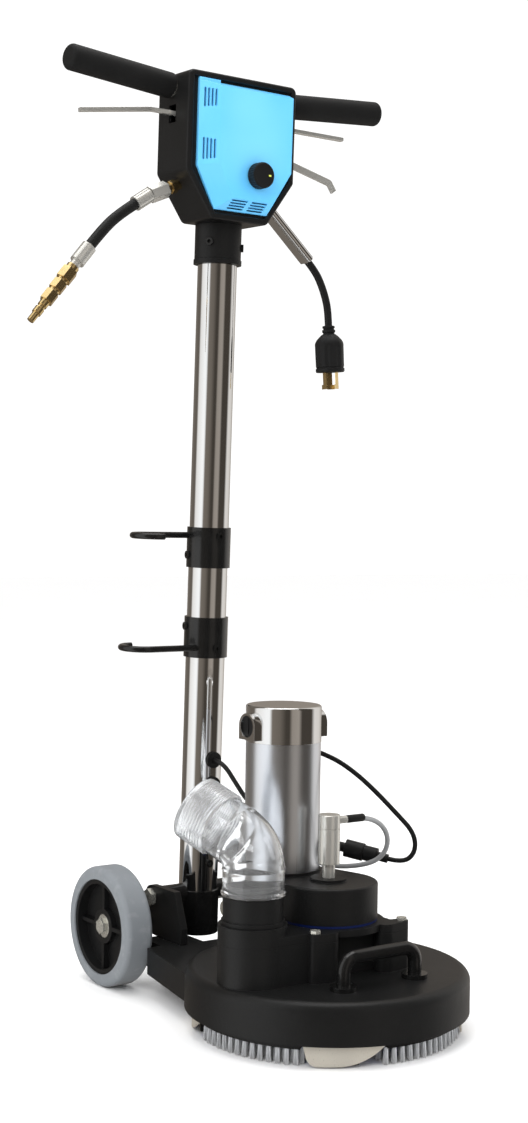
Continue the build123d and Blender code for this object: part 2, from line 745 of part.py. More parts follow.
with BuildPart() as glide_plates:
    for angle in SHOE_ANGLES:
        turn = math.radians(angle)
        out = (math.cos(turn), math.sin(turn), 0)
        across = (-math.sin(turn), math.cos(turn), 0)
        half = SHOE_END_W / 2
        with BuildSketch(Plane(origin=(HEAD[0], HEAD[1], 0), x_dir=across, z_dir=out)):
            with BuildLine():
                Line((-half, DISC_Z), (-half + 3, 13))
                RadiusArc((-half + 3, 13), (-half + 15, SHOE_BOTTOM), -13)
                Line((-half + 15, SHOE_BOTTOM), (-6, SHOE_BOTTOM + 0.5))
                RadiusArc((-6, SHOE_BOTTOM + 0.5), (half, DISC_Z), -82)
                Line((half, DISC_Z), (-half, DISC_Z))
            make_face()
        extrude(amount=DISC_R)
    with BuildSketch(Plane.XY.offset(SHOE_BOTTOM)):
        with Locations(HEAD):
            Circle(DISC_R)
            Circle(DISC_R - SHOE_WALL, mode=Mode.SUBTRACT)
    extrude(amount=DISC_Z - SHOE_BOTTOM, mode=Mode.INTERSECT)
write(glide_plates, "glide_plates")

# ---------------------------------------------------------------- chassis cheeks, pivot shaft, axles
AXLE_IN = CHEEK_X - 6.0
AXLE_OUT = WHEEL_FACE_X - 2.0
WHEEL_IN_X = WHEEL_FACE_X - WHEEL_W

with BuildPart() as pivot_cheeks:
    for side in (-1, 1):
        with BuildSketch(Plane(origin=(side * CHEEK_X, 0, 0), x_dir=(0, 1, 0), z_dir=(1, 0, 0))):
            with Locations((PIVOT_Y, PIVOT_Z)):
                Circle(PIVOT_SHAFT_R + 8)
            with Locations((AXLE_Y, WHEEL_R)):
                Circle(AXLE_R + 5)
            with Locations((PIVOT_Y - CHEEK_TOP_D, PIVOT_Z + PIVOT_SHAFT_R)):
                Rectangle(CHEEK_TOP_D, CHEEK_TOP_H)
            with Locations((HEAD_Y + TAIL_STEP + 12, TAIL_TOP + CHEEK_BASE_H / 2)):
                Rectangle(CHEEK_BASE_D, CHEEK_BASE_H)
            make_hull()
            with Locations((PIVOT_Y, PIVOT_Z)):
                Circle(PIVOT_SHAFT_R, mode=Mode.SUBTRACT)
            with Locations((AXLE_Y, WHEEL_R)):
                Circle(AXLE_R, mode=Mode.SUBTRACT)
        extrude(amount=side * CHEEK_T)
write(pivot_cheeks, "pivot_cheeks")


def station(x, y, z):
    """Plane square to X at a point, for bars and bores that run across the machine."""
    return Plane(origin=(x, y, z), z_dir=(1, 0, 0))


NUT_START = CHEEK_X + CHEEK_T

with BuildPart() as chassis_shafts:
    with BuildSketch(station(-NUT_START - NUT_H, PIVOT_Y, PIVOT_Z)):
        Circle(PIVOT_SHAFT_R)
    extrude(amount=2 * (NUT_START + NUT_H))
    for side in (-1, 1):
        with BuildSketch(station(side * CHEEK_X, AXLE_Y, WHEEL_R)):
            Circle(AXLE_R)
        extrude(amount=side * (AXLE_OUT - CHEEK_X))
        with BuildSketch(station(side * CHEEK_X, AXLE_Y, WHEEL_R)):
            Circle(AXLE_R + 4)
        extrude(amount=side * (AXLE_IN - CHEEK_X))
write(chassis_shafts, "chassis_shafts")

BEARING_OUT_X = WHEEL_FACE_X - 9.0

with BuildPart() as bearings:
    for low in (SHROUD_TOP - ROOF - BEARING_H, FLANGE_Z - BEARING_H):
        with BuildSketch(Plane.XY.offset(low)):
            with Locations(HEAD):
                Circle(BEARING_R)
                Circle(SPINDLE_R + RUN_GAP, mode=Mode.SUBTRACT)
        extrude(amount=BEARING_H)
    for side in (-1, 1):
        for outer_x in (BEARING_OUT_X, WHEEL_IN_X + WHEEL_BEARING_H):
            with BuildSketch(Plane(origin=(side * outer_x, AXLE_Y, WHEEL_R), z_dir=(-side, 0, 0))):
                Circle(WHEEL_BEARING_R)
                Circle(AXLE_R, mode=Mode.SUBTRACT)
            extrude(amount=WHEEL_BEARING_H)
write(bearings, "bearings")

with BuildPart() as chassis_fasteners:
    for side in (-1, 1):
        with BuildSketch(Plane(origin=(side * NUT_START, PIVOT_Y, PIVOT_Z), z_dir=(side, 0, 0))):
            RegularPolygon(NUT_R, 6)
            Circle(PIVOT_SHAFT_R, mode=Mode.SUBTRACT)
        extrude(amount=NUT_H)
        with BuildSketch(Plane(origin=(side * BEARING_OUT_X, AXLE_Y, WHEEL_R), z_dir=(side, 0, 0))):
            RegularPolygon(AXLE_NUT_R, 6)
            Circle(AXLE_R, mode=Mode.SUBTRACT)
        extrude(amount=NUT_H - 1)
    # the drive housing covers the second boss, so three bolts show
    for x, y in (BOSSES[0], BOSSES[2], BOSSES[3]):
        with BuildSketch(Plane.XY.offset(FLANGE_Z)):
            with Locations((x, y)):
                RegularPolygon(BOSS_R * 0.8, 6)
        extrude(amount=3.5)
write(chassis_fasteners, "chassis_fasteners")


def wheel_plane(side, x):
    """Plane on the wheel axis at a distance from the centreline, facing outwards."""
    return Plane(origin=(side * x, AXLE_Y, WHEEL_R), x_dir=(0, 1, 0), z_dir=(side, 0, 0))


for side, name in ((-1, "left"), (1, "right")):
    with BuildPart() as tyre:
        with BuildSketch(wheel_plane(side, WHEEL_IN_X)):
            Circle(WHEEL_R)
        extrude(amount=WHEEL_W)
        fillet(tyre.edges(), TYRE_ROUND)
        with BuildSketch(wheel_plane(side, WHEEL_IN_X)):
            Circle(RIM_R)
        extrude(amount=WHEEL_W, mode=Mode.SUBTRACT)
    write(tyre, f"tyre_{name}")

    with BuildPart() as rim:
        with BuildSketch(wheel_plane(side, WHEEL_IN_X + 2)):
            Circle(RIM_R)
            Circle(RIM_R - RIM_LIP, mode=Mode.SUBTRACT)
        extrude(amount=WHEEL_W - 4)
        with BuildSketch(wheel_plane(side, WHEEL_IN_X + WHEEL_W / 2 - RIM_WEB / 2)):
            Circle(RIM_R - RIM_LIP)
        extrude(amount=RIM_WEB)
        with BuildSketch(wheel_plane(side, WHEEL_IN_X)):
            Circle(HUB_OUT)
        extrude(amount=WHEEL_W - 8)
        for spoke in range(SPOKE_COUNT):
            with BuildSketch(wheel_plane(side, WHEEL_IN_X + 8)):
                with Locations(Rot(0, 0, spoke * 360 / SPOKE_COUNT)):
                    with Locations(((HUB_OUT + RIM_R - RIM_LIP) / 2, 0)):
                        Rectangle(RIM_R - RIM_LIP - HUB_OUT + 3, 5)
            extrude(amount=WHEEL_W - 16)
        with BuildSketch(wheel_plane(side, WHEEL_IN_X)):
            Circle(WHEEL_BEARING_R + RUN_GAP)
        extrude(amount=WHEEL_BEARING_H, mode=Mode.SUBTRACT)
        with BuildSketch(wheel_plane(side, BEARING_OUT_X - WHEEL_BEARING_H)):
            Circle(WHEEL_BEARING_R + RUN_GAP)
        extrude(amount=WHEEL_W, mode=Mode.SUBTRACT)
        with BuildSketch(wheel_plane(side, WHEEL_IN_X)):
            Circle(AXLE_R + 3)
        extrude(amount=WHEEL_W, mode=Mode.SUBTRACT)
    write(rim, f"rim_{name}")

# ---------------------------------------------------------------- front lifting handle

with BuildPart() as front_handle:
    with BuildLine():
        FilletPolyline(
            (-LIFT_HALF, HEAD_Y + LIFT_DY, SHROUD_TOP),
            (-LIFT_HALF, HEAD_Y + LIFT_DY, LIFT_TOP),
            (LIFT_HALF, HEAD_Y + LIFT_DY, LIFT_TOP),
            (LIFT_HALF, HEAD_Y + LIFT_DY, SHROUD_TOP),
            radius=LIFT_CORNER,
        )
    with BuildSketch(Plane.XY.offset(SHROUD_TOP)):
        with Locations((-LIFT_HALF, HEAD_Y + LIFT_DY)):
            Circle(LIFT_R)
    sweep()
    with BuildSketch(Plane.XY.offset(SHROUD_TOP)):
        with Locations((-LIFT_HALF, HEAD_Y + LIFT_DY), (LIFT_HALF, HEAD_Y + LIFT_DY)):
            Circle(LIFT_R + 7)
    extrude(amount=5)
write(front_handle, "front_handle")

# ---------------------------------------------------------------- pole, socket and neck
with BuildPart() as pivot_socket:
    with BuildSketch(up_pole(SOCKET_BOTTOM)):
        Circle(SOCKET_R)
    extrude(amount=SOCKET_TOP - SOCKET_BOTTOM)
    with BuildSketch(up_pole(SOCKET_TOP)):
        Circle(POLE_R - POLE_WALL)
    extrude(amount=SPIGOT_TOP - SOCKET_TOP)
    with BuildSketch(station(-CHEEK_X + FREE_GAP, PIVOT_Y, PIVOT_Z)):
        Circle(BARREL_R)
    extrude(amount=2 * (CHEEK_X - FREE_GAP))
    with BuildSketch(up_pole(BARREL_R + 8)):
        Circle(POLE_R - POLE_WALL - 5)
    extrude(amount=SPIGOT_TOP, mode=Mode.SUBTRACT)
    with BuildSketch(Plane(origin=(-CHEEK_X, PIVOT_Y, PIVOT_Z), z_dir=(1, 0, 0))):
        Circle(PIVOT_SHAFT_R + RUN_GAP)
    extrude(amount=2 * CHEEK_X, mode=Mode.SUBTRACT)
write(pivot_socket, "pivot_socket")

with BuildPart() as pole_tube:
    with BuildSketch(up_pole(SOCKET_TOP)):
        Circle(POLE_R)
        Circle(POLE_R - POLE_WALL, mode=Mode.SUBTRACT)
    extrude(amount=BOX_BOTTOM - SOCKET_TOP)
    # saddle where the pole meets the pivot barrel
    with BuildSketch(station(-POLE_R, PIVOT_Y, PIVOT_Z)):
        Circle(BARREL_R)
    extrude(amount=2 * POLE_R, mode=Mode.SUBTRACT)
    for height in (GROMMET_UPPER, GROMMET_LOWER):
        with BuildSketch(facing_front(0, height)):
            Circle(GROMMET_R - 2)
        extrude(amount=POLE_R + 5, mode=Mode.SUBTRACT)
write(pole_tube, "pole_tube")

with BuildPart() as neck_collar:
    with BuildSketch(up_pole(NECK_BOTTOM)):
        Circle(NECK_R)
    extrude(amount=BOX_BOTTOM - NECK_BOTTOM)
    with BuildSketch(up_pole(NECK_BOTTOM)):
        Circle(NECK_R + 1)
    extrude(amount=6)
    with BuildSketch(up_pole(NECK_BOTTOM)):
        Circle(POLE_R)
    extrude(amount=BOX_BOTTOM - NECK_BOTTOM, mode=Mode.SUBTRACT)
write(neck_collar, "neck_collar")

# ---------------------------------------------------------------- hose hooks on clamps


def hose_hook(low, hook_height, side, centre_x):
    """Two-piece pole clamp with an open ring of rod reaching to the left; side is -1 or 1."""
    root_v = side * 14.0
    far_v = root_v - side * 2 * HOOK_RING
    with BuildPart() as hook:
        with BuildSketch(up_pole(low)):
            Circle(POLE_R + CLAMP_T)
        extrude(amount=CLAMP_H)
        with BuildLine():
            run = Line(handle_point(-20, root_v, hook_height), handle_point(centre_x, root_v, hook_height))
            ThreePointArc(
                run @ 1,
                handle_point(centre_x - HOOK_RING, root_v - side * HOOK_RING, hook_height),
                handle_point(centre_x, far_v, hook_height),
            )
        with BuildSketch(Plane(origin=run @ 0, z_dir=run % 0)):
            Circle(HOOK_R)
        sweep()
        with BuildSketch(up_pole(low)):
            Circle(POLE_R)
        extrude(amount=CLAMP_H, mode=Mode.SUBTRACT)
    return hook


write(hose_hook(CLAMP_UPPER, CLAMP_UPPER + 41, 1, -92.0), "hose_hook_upper")
write(hose_hook(CLAMP_LOWER, CLAMP_LOWER + 13, -1, -90.0), "hose_hook_lower")

# ---------------------------------------------------------------- control box
def box_outline(inset=0.0):
    """Front view of the control box: vertical sides, lower corners cut towards a narrow foot."""
    with BuildSketch() as outline:
        with BuildLine():
            Polyline(
                (-BOX_FOOT_HALF, BOX_BOTTOM),
                (BOX_FOOT_HALF, BOX_BOTTOM),
                (BOX_HALF, BOX_SHOULDER),
                (BOX_HALF, BOX_TOP),
                (-BOX_HALF, BOX_TOP),
                (-BOX_HALF, BOX_SHOULDER),
                close=True,
            )
        make_face()
        fillet(outline.vertices(), BOX_ROUND)
        if inset:
            offset(amount=-inset, mode=Mode.REPLACE)
    return outline.sketch


bar_centre = handle_point(0, BAR_V, BAR_S)


def grip_way(side):
    """Direction of a grip: outwards, swept forwards and rising."""
    swept = math.radians(GRIP_SWEEP_DEG)
    rising = math.radians(GRIP_RISE_DEG)
    return Vector(
        side * math.cos(swept) * math.cos(rising), -math.sin(swept), math.sin(rising)
    ).normalized()


def grip_distance(x):
    """Distance along a grip's axis to a distance x from the centreline."""
    return x / grip_way(1).X


# ---------------------------------------------------------------- control box shell
wiring_hole = POLE_R - POLE_WALL - 6

with BuildPart() as rear_shell:
    with BuildSketch(facing_front(BOX_BACK)):
        add(box_outline())
    extrude(amount=BOX_BACK - BOX_FRONT + BEAD_H)
    fillet(rear_shell.faces().sort_by(Axis.Y)[-1].edges(), BOX_ROUND - 1)
    fillet(rear_shell.faces().sort_by(Axis.Y)[0].edges(), BOX_WALL - 0.5)
    with BuildSketch(facing_front(BOX_FRONT)):
        add(box_outline(BEAD_W))
    extrude(amount=BEAD_H, mode=Mode.SUBTRACT)
    bead_face = rear_shell.faces().sort_by(Axis((0, 0, 0), facing_front(0).z_dir))[-1]
    fillet(bead_face.inner_wires().edges(), BEAD_H / 2)
    with BuildSketch(facing_front(BOX_BACK - BOX_WALL)):
        add(box_outline(BOX_WALL))
    extrude(amount=BOX_BACK - BOX_WALL - BOX_FRONT - LIP_T, mode=Mode.SUBTRACT)
    with BuildSketch(facing_front(BOX_FRONT + LIP_T)):
        add(box_outline(LIP_INSET))
    extrude(amount=LIP_T, mode=Mode.SUBTRACT)
    # openings for the wiring, the bars, the levers and the water inlet
    with BuildSketch(up_pole(BOX_BOTTOM - BOX_WALL)):
        Circle(wiring_hole)
    extrude(amount=4 * BOX_WALL, mode=Mode.SUBTRACT)
    for side in (-1, 1):
        with BuildSketch(Plane(origin=bar_centre, z_dir=grip_way(side))):
            Circle(BAR_R)
        extrude(amount=GRIP_REACH, mode=Mode.SUBTRACT)
        with BuildSketch(facing_front(LEVER_EXIT_V + LEVER_W)):
            with Locations((side * BOX_HALF, LEVER_S)):
                Rectangle(4 * BOX_WALL, LEVER_SLOT_H)
        extrude(amount=2 * LEVER_W, mode=Mode.SUBTRACT)
    with BuildSketch(facing_front(TRIGGER_V + LEVER_W)):
        with Locations((BOX_HALF, TRIGGER_S)):
            Rectangle(4 * BOX_WALL, LEVER_SLOT_H)
    extrude(amount=2 * LEVER_W, mode=Mode.SUBTRACT)
    # posts for the lever pins, standing on the back wall
    posts = [(-LEVER_PIVOT_X, LEVER_S), (LEVER_PIVOT_X, LEVER_S), (LEVER_PIVOT_X, TRIGGER_S)]
    with BuildSketch(facing_front(BOX_BACK - BOX_WALL)):
        with Locations(*posts):
            Circle(LEVER_PIN_R)
    extrude(amount=BOX_BACK - BOX_WALL - TRIGGER_V + LEVER_W)
write(rear_shell, "rear_shell")

# ---------------------------------------------------------------- front cover with its raised panel and vents

cover_base = [
    (COVER_LEFT, BOX_TOP - COVER_EDGE),
    (COVER_LEFT, BOX_SHOULDER + COVER_EDGE / 2),
    (-BOX_FOOT_HALF + 2, BOX_BOTTOM + COVER_EDGE),
    (BOX_FOOT_HALF - 2, BOX_BOTTOM + COVER_EDGE),
    (COVER_RIGHT, BOX_SHOULDER + COVER_EDGE / 2),
    (COVER_RIGHT, BOX_TOP - COVER_EDGE),
]
panel_corners = [
    (PANEL_LEFT, PANEL_TOP),
    (PANEL_LEFT, PANEL_SHOULDER),
    (PANEL_FOOT_LEFT, PANEL_FOOT),
    (PANEL_FOOT_RIGHT, PANEL_FOOT),
    (PANEL_RIGHT, PANEL_SHOULDER),
    (PANEL_RIGHT, PANEL_TOP),
]


def polygon(corners, inset=0.0):
    """Closed outline through the corners, moved inwards by the inset."""
    with BuildSketch() as outline:
        with BuildLine():
            Polyline(*corners, close=True)
        make_face()
        if inset:
            offset(amount=-inset, kind=Kind.INTERSECTION, mode=Mode.REPLACE)
    return outline.sketch


with BuildPart() as front_cover:
    with BuildSketch(facing_front(BOX_FRONT)):
        add(polygon(cover_base))
    extrude(amount=COVER_FLANGE)
    with BuildSketch(facing_front(BOX_FRONT - COVER_FLANGE)):
        add(polygon(cover_base))
    with BuildSketch(facing_front(BOX_FRONT - COVER_RISE)):
        add(polygon(panel_corners))
    loft()
    with BuildSketch(facing_front(BOX_FRONT)):
        with Locations(((TAB_RIGHT + COVER_LEFT) / 2, BOX_TOP - COVER_EDGE)):
            Rectangle(TAB_RIGHT - COVER_LEFT, 2 * COVER_TAB_RISE)
    extrude(amount=COVER_FLANGE)
    with BuildSketch(facing_front(BOX_FRONT)):
        add(polygon(cover_base, COVER_WALL))
    extrude(amount=COVER_FLANGE, mode=Mode.SUBTRACT)
    with BuildSketch(facing_front(BOX_FRONT - COVER_FLANGE)):
        add(polygon(cover_base, COVER_WALL))
    with BuildSketch(facing_front(BOX_FRONT - COVER_RISE + COVER_WALL)):
        add(polygon(panel_corners, COVER_WALL))
    loft(mode=Mode.SUBTRACT)
    with BuildSketch(facing_front(BOX_FRONT)):
        for height, length in ((1013.0, 24), (950.0, 27)):
            for k in range(4):
                with Locations((-60.5 + k * VENT_PITCH, height)):
                    SlotOverall(length - k, VENT_W, rotation=90)
        for middle in (-11.0, 19.0):
            for k in range(4):
                with Locations((middle + k * 0.5, BOX_BOTTOM + COVER_EDGE + 3 + k * (VENT_PITCH - 1))):
                    SlotOverall(24, VENT_W - 0.8)
        with Locations((KNOB_X, KNOB_S)):
            Circle(KNOB_SHAFT_R + RUN_GAP)
    extrude(amount=COVER_RISE + 1, mode=Mode.SUBTRACT)
write(front_cover, "front_cover")

with BuildPart() as speed_knob:
    knob_back = facing_front(BOX_FRONT - COVER_RISE - FREE_GAP)
    with BuildSketch(knob_back):
        with Locations((KNOB_X, KNOB_S)):
            Circle(KNOB_R)
    extrude(amount=KNOB_H)
    fillet(speed_knob.edges().group_by(Axis.Y)[0], 1.2)
    with BuildSketch(facing_front(BOX_FRONT - COVER_RISE + 12)):
        with Locations((KNOB_X, KNOB_S)):
            Circle(KNOB_SHAFT_R)
    extrude(amount=12 + FREE_GAP)
write(speed_knob, "speed_knob")

# ---------------------------------------------------------------- handlebar and grips
bar_end = grip_distance(GRIP_REACH) - 8

with BuildPart() as handlebar:
    for side in (-1, 1):
        with BuildSketch(Plane(origin=bar_centre, z_dir=grip_way(side))):
            Circle(BAR_R)
        extrude(amount=bar_end)
    for side in (-1, 1):
        with BuildSketch(Plane(origin=bar_centre + grip_way(side) * 30, z_dir=grip_way(side))):
            Circle(BAR_R - BAR_WALL)
        extrude(amount=bar_end, mode=Mode.SUBTRACT)
write(handlebar, "handlebar")

for side, name in ((-1, "left"), (1, "right")):
    grip_plane = Plane(origin=bar_centre, z_dir=grip_way(side))
    grip_start = grip_distance(GRIP_START)
    grip_length = grip_distance(GRIP_REACH) - grip_start
    with BuildPart() as grip:
        with BuildSketch(grip_plane.offset(grip_start)):
            Circle(GRIP_R)
        extrude(amount=grip_length)
        fillet(grip.faces().sort_by(Axis.X)[0 if side < 0 else -1].edges(), 6)
        with BuildSketch(grip_plane.offset(grip_start)):
            Circle(BAR_R)
        extrude(amount=bar_end - grip_start, mode=Mode.SUBTRACT)
    write(grip, f"grip_{name}")


# ---------------------------------------------------------------- levers under the grips
def squeeze_lever(side, points, width, thick):
    """Lever with an eye on a pin inside the box and a flat bar along points (across, back, up)."""
    start = points[0]
    eye_back = start[1] + LEVER_W / 2
    with BuildPart() as lever:
        with BuildLine():
            bar = FilletPolyline(*[handle_point(side * x, v, s) for x, v, s in points], radius=4)
        with BuildSketch(Plane(origin=bar @ 0, x_dir=handle_plane.y_dir, z_dir=bar % 0)):
            RectangleRounded(width, thick, 1)
        sweep()
        with BuildSketch(facing_front(eye_back)):
            with Locations((side * start[0], start[2])):
                Circle(LEVER_EYE_R)
        extrude(amount=LEVER_W)
        with BuildSketch(facing_front(eye_back + 5)):
            with Locations((side * start[0], start[2])):
                Circle(LEVER_PIN_R + RUN_GAP)
        extrude(amount=LEVER_W + 10, mode=Mode.SUBTRACT)
    return lever


left_lever_points = [
    (LEVER_PIVOT_X, LEVER_EXIT_V, LEVER_S),
    (86, LEVER_EXIT_V, 996),
    (106, 2, 999),
    (206, 3, 984),
]
right_lever_points = [
    (LEVER_PIVOT_X, LEVER_EXIT_V, LEVER_S),
    (86, LEVER_EXIT_V, 998),
    (106, 2, 1003),
    (197, 3, 1003),
]
trigger_points = [
    (LEVER_PIVOT_X, TRIGGER_V, TRIGGER_S),
    (88, TRIGGER_V, 958),
    (168, -10, 940),
    (176, -10, 929),
]
write(squeeze_lever(-1, left_lever_points, LEVER_W, LEVER_T), "lever_left")
write(squeeze_lever(1, right_lever_points, LEVER_W, LEVER_T), "lever_right")
write(squeeze_lever(1, trigger_points, 4.0, 9.0), "trigger_water")

# ---------------------------------------------------------------- screws and grommets on the pole


def radial_plane(angle, height, radius):
    """Plane touching the pole at an angle round it, facing outwards; 0 is +X and 270 is the front."""
    turn = math.radians(angle)
    way = handle_plane.x_dir * math.cos(turn) + handle_plane.y_dir * math.sin(turn)
    return Plane(origin=handle_plane.from_local_coords(Vector(0, 0, height)) + way * radius, z_dir=way)


SCREWS = [
    (216, 842, NECK_R),
    (325, 838, NECK_R),
    (266, CLAMP_UPPER + 41, POLE_R + CLAMP_T),
    (170, CLAMP_UPPER + 16, POLE_R + CLAMP_T),
    (266, CLAMP_LOWER + 13, POLE_R + CLAMP_T),
    (170, CLAMP_LOWER + 40, POLE_R + CLAMP_T),
    (268, 42, POLE_R),
]

with BuildPart() as handle_screws:
    for angle, height, radius in SCREWS:
        with BuildSketch(radial_plane(angle, height, radius)):
            Circle(SCREW_R)
            RegularPolygon(SCREW_R * 0.5, 6, mode=Mode.SUBTRACT)
        extrude(amount=SCREW_H)
write(handle_screws, "handle_screws")

with BuildPart() as lead_grommets:
    for height, dia in ((GROMMET_UPPER, LEAD_DIA), (GROMMET_LOWER, WATER_DIA)):
        with BuildSketch(radial_plane(270, height, POLE_R)):
            Circle(GROMMET_R + 1)
        extrude(amount=GROMMET_FLANGE)
        with BuildSketch(up_pole(height - 2 * GROMMET_R)):
            Circle(POLE_R)
        extrude(amount=4 * GROMMET_R, mode=Mode.SUBTRACT)
        with BuildSketch(radial_plane(270, height, POLE_R - POLE_WALL)):
            Circle(GROMMET_R - 2)
        extrude(amount=POLE_WALL + GROMMET_FLANGE)
        with BuildSketch(radial_plane(270, height, 0)):
            Circle(dia / 2 + RUN_GAP)
        extrude(amount=2 * POLE_R, mode=Mode.SUBTRACT)
write(lead_grommets, "lead_grommets")


# ---------------------------------------------------------------- cords and hoses
def bend_radii(points):
    """Largest even bend at each corner: 0.45 of the shorter run over the tangent of half the turn."""
    radii = []
    for before, corner, after in zip(points, points[1:], points[2:]):
        run_in = Vector(*corner) - Vector(*before)
        run_out = Vector(*after) - Vector(*corner)
        half_turn = math.radians(run_in.get_angle(run_out)) / 2
        radii.append(0.45 * min(run_in.length, run_out.length) / math.tan(half_turn))
    return radii


def cord(points, dia, node):
    """Round cord along a hand-chosen route of straight runs and arcs."""
    radii = bend_radii(points)
    with BuildPart() as run:
        with BuildLine():
            route = FilletPolyline(*points, radius=radii)
        with BuildSketch(Plane(origin=route @ 0, z_dir=route % 0)):
            Circle(dia / 2)
        sweep()
    expected = math.pi * dia**2 / 4 * route.length
    print(node, "length", round(route.length, 1), "radii", [round(r) for r in radii])
    print(node, "volume over section times length", round(run.part.volume / expected, 4))
    write(run, node)


mains_route = [
    (121.0, 119.0, 939.5),
    (135.5, 119.0, 926.5),
    (147.0, 119.5, 908.0),
    (154.5, 119.0, 888.0),
    (157.5, 119.0, 872.0),
    (158.5, 119.0, 857.0),
]
inlet_route = [
    (-134.0, 133.0, 986.0),
    (-158.0, 133.0, 970.0),
    (-180.0, 133.0, 949.0),
    (-198.5, 133.0, 926.5),
]
motor_lead_route = [
    (32.6, -11.5, 314.0),
    (46.0, -7.4, 314.0),
    (62.0, -11.0, 308.0),
    (78.0, -22.0, 299.0),
    (96.0, -36.0, 283.0),
    (114.0, -51.0, 262.0),
    (131.0, -68.0, 238.0),
    (146.0, -87.0, 214.0),
    (147.6, -88.5, 190.0),
    (137.8, -77.2, 175.7),
    (125.2, -61.8, 179.6),
]
handle_lead_route = [
    (0.0, 143.5, 286.55),
    (0.0, 130.5, 286.13),
    (3.0, 117.0, 279.0),
    (8.0, 104.0, 262.0),
    (14.0, 88.0, 242.0),
    (24.0, 68.0, 225.0),
    (38.0, 46.0, 211.0),
    (54.0, 26.0, 202.0),
    (69.8, 5.8, 196.4),
    (86.0, -14.0, 191.5),
]
solution_route = [
    (25.1, -104.0, 244.0),
    (48.0, -104.0, 244.0),
    (70.0, -103.0, 239.0),
    (88.0, -100.0, 227.0),
    (99.0, -94.0, 210.0),
    (100.0, -86.0, 193.0),
    (93.0, -74.0, 181.0),
    (80.0, -58.0, 175.0),
    (66.0, -38.0, 172.0),
    (57.0, -12.0, 172.5),
    (52.0, 18.0, 178.0),
    (42.0, 50.0, 189.0),
    (28.0, 76.0, 208.0),
    (14.0, 98.0, 230.0),
    (5.0, 115.0, 247.0),
    (0.0, 131.5, 253.64),
    (0.0, 144.5, 254.06),
]
cord(mains_route, MAINS_DIA, "mains_cord")
cord(inlet_route, HOSE_DIA, "inlet_hose")
cord(motor_lead_route, LEAD_DIA, "motor_lead")
cord(handle_lead_route, LEAD_DIA, "handle_lead")
cord(solution_route, WATER_DIA, "solution_hose")


def end_way(route, last=True):
    """Unit direction of a route's last run, or of its first run reversed."""
    first, second = (route[-2], route[-1]) if last else (route[1], route[0])
    return (Vector(*second) - Vector(*first)).normalized()


def turned_stack(piece_steps, start, way):
    """Stack of discs or hexagons along an axis; each step is (from, to, radius, sides)."""
    with BuildPart() as stack:
        for low, high, radius, sides in piece_steps:
            with BuildSketch(Plane(origin=start + way * low, z_dir=way)):
                if sides:
                    RegularPolygon(radius, sides)
                else:
                    Circle(radius)
            extrude(amount=high - low)
    return stack


# plug on the mains cord
plug_start = Vector(*mains_route[-1])
plug_way = end_way(mains_route)
plug_steps = [
    (0, 4, 8.5, 0),
    (4, 6, 7.5, 0),
    (6, 10, 9.0, 0),
    (10, 12, 8.0, 0),
    (12, 15, 12.0, 0),
    (15, 19, 16.5, 0),
    (19, 62, 19.4, 0),
]
write(turned_stack(plug_steps, plug_start, plug_way), "plug_body")

with BuildPart() as plug_blades:
    face = Plane(origin=plug_start + plug_way * 62, z_dir=plug_way)
    with BuildSketch(face):
        with PolarLocations(9, 3):
            Rectangle(1.8, 7)
    extrude(amount=20)
    with BuildSketch(face.offset(16)):
        with PolarLocations(9, 3):
            with Locations((0, 1.5)):
                Rectangle(1.8, 10)
    extrude(amount=6)
write(plug_blades, "plug_blades")

# fittings on the inlet hose
hose_start = Vector(*inlet_route[0])
nut_end = hose_start + end_way(inlet_route, last=False) * 22
wall_point = Vector(-72.0, 133.0, 1017.0)
nut_way = (nut_end - wall_point).normalized()
nut_start = nut_end - nut_way * 28
hose_end = Vector(*inlet_route[-1])
hose_way = end_way(inlet_route)

with BuildPart() as hose_nut:
    with BuildSketch(Plane(origin=nut_start, z_dir=nut_way)):
        RegularPolygon(11, 6)
    extrude(amount=25)
    with BuildSketch(Plane(origin=hose_start, z_dir=end_way(inlet_route, last=False))):
        Circle(9.5)
    extrude(amount=24)
write(hose_nut, "hose_nut")

ferrule_steps = [(0, 26, 9.5, 0), (26, 34, 6.5, 0)]
write(turned_stack(ferrule_steps, hose_end, hose_way), "hose_ferrule")

coupler_steps = [
    (34, 40, 8.0, 0),
    (40, 56, 10.5, 6),
    (56, 60, 7.5, 0),
    (60, 73, 9.5, 6),
    (73, 77, 7.0, 0),
    (77, 92, 9.0, 6),
    (92, 100, 6.0, 0),
    (100, 104, 4.8, 0),
    (104, 112, 6.0, 0),
    (112, 124, 4.5, 0),
]
write(turned_stack(coupler_steps, hose_end, hose_way), "hose_coupler")

with BuildPart() as inlet_fitting:
    with BuildSketch(Plane(origin=nut_start, z_dir=-nut_way)):
        Circle(6.5)
    extrude(amount=30)
    with BuildSketch(Plane(origin=nut_start - nut_way * 7, z_dir=-nut_way)):
        RegularPolygon(8.5, 6)
    extrude(amount=8)
    with BuildSketch(facing_front(BOX_BACK)):
        add(box_outline())
    extrude(amount=BOX_BACK - BOX_FRONT, mode=Mode.SUBTRACT)
write(inlet_fitting, "inlet_fitting")

# clamp that grips the mains cord below the box
cord_start = Vector(*mains_route[0])
cord_way = end_way(mains_route, last=False)

with BuildPart() as cord_clamp:
    with BuildSketch(Plane(origin=cord_start, x_dir=(0, 1, 0), z_dir=cord_way)):
        Rectangle(15, 12)
    extrude(amount=CLAMP_LENGTH)
    with BuildSketch(Plane(origin=cord_start, x_dir=(0, 1, 0), z_dir=cord_way)):
        with Locations((7.5, 0), (-7.5, 0)):
            Circle(4.5)
    extrude(amount=CLAMP_LENGTH)
    with BuildSketch(facing_front(BOX_BACK)):
        add(box_outline())
    extrude(amount=BOX_BACK - BOX_FRONT, mode=Mode.SUBTRACT)
write(cord_clamp, "cord_clamp")

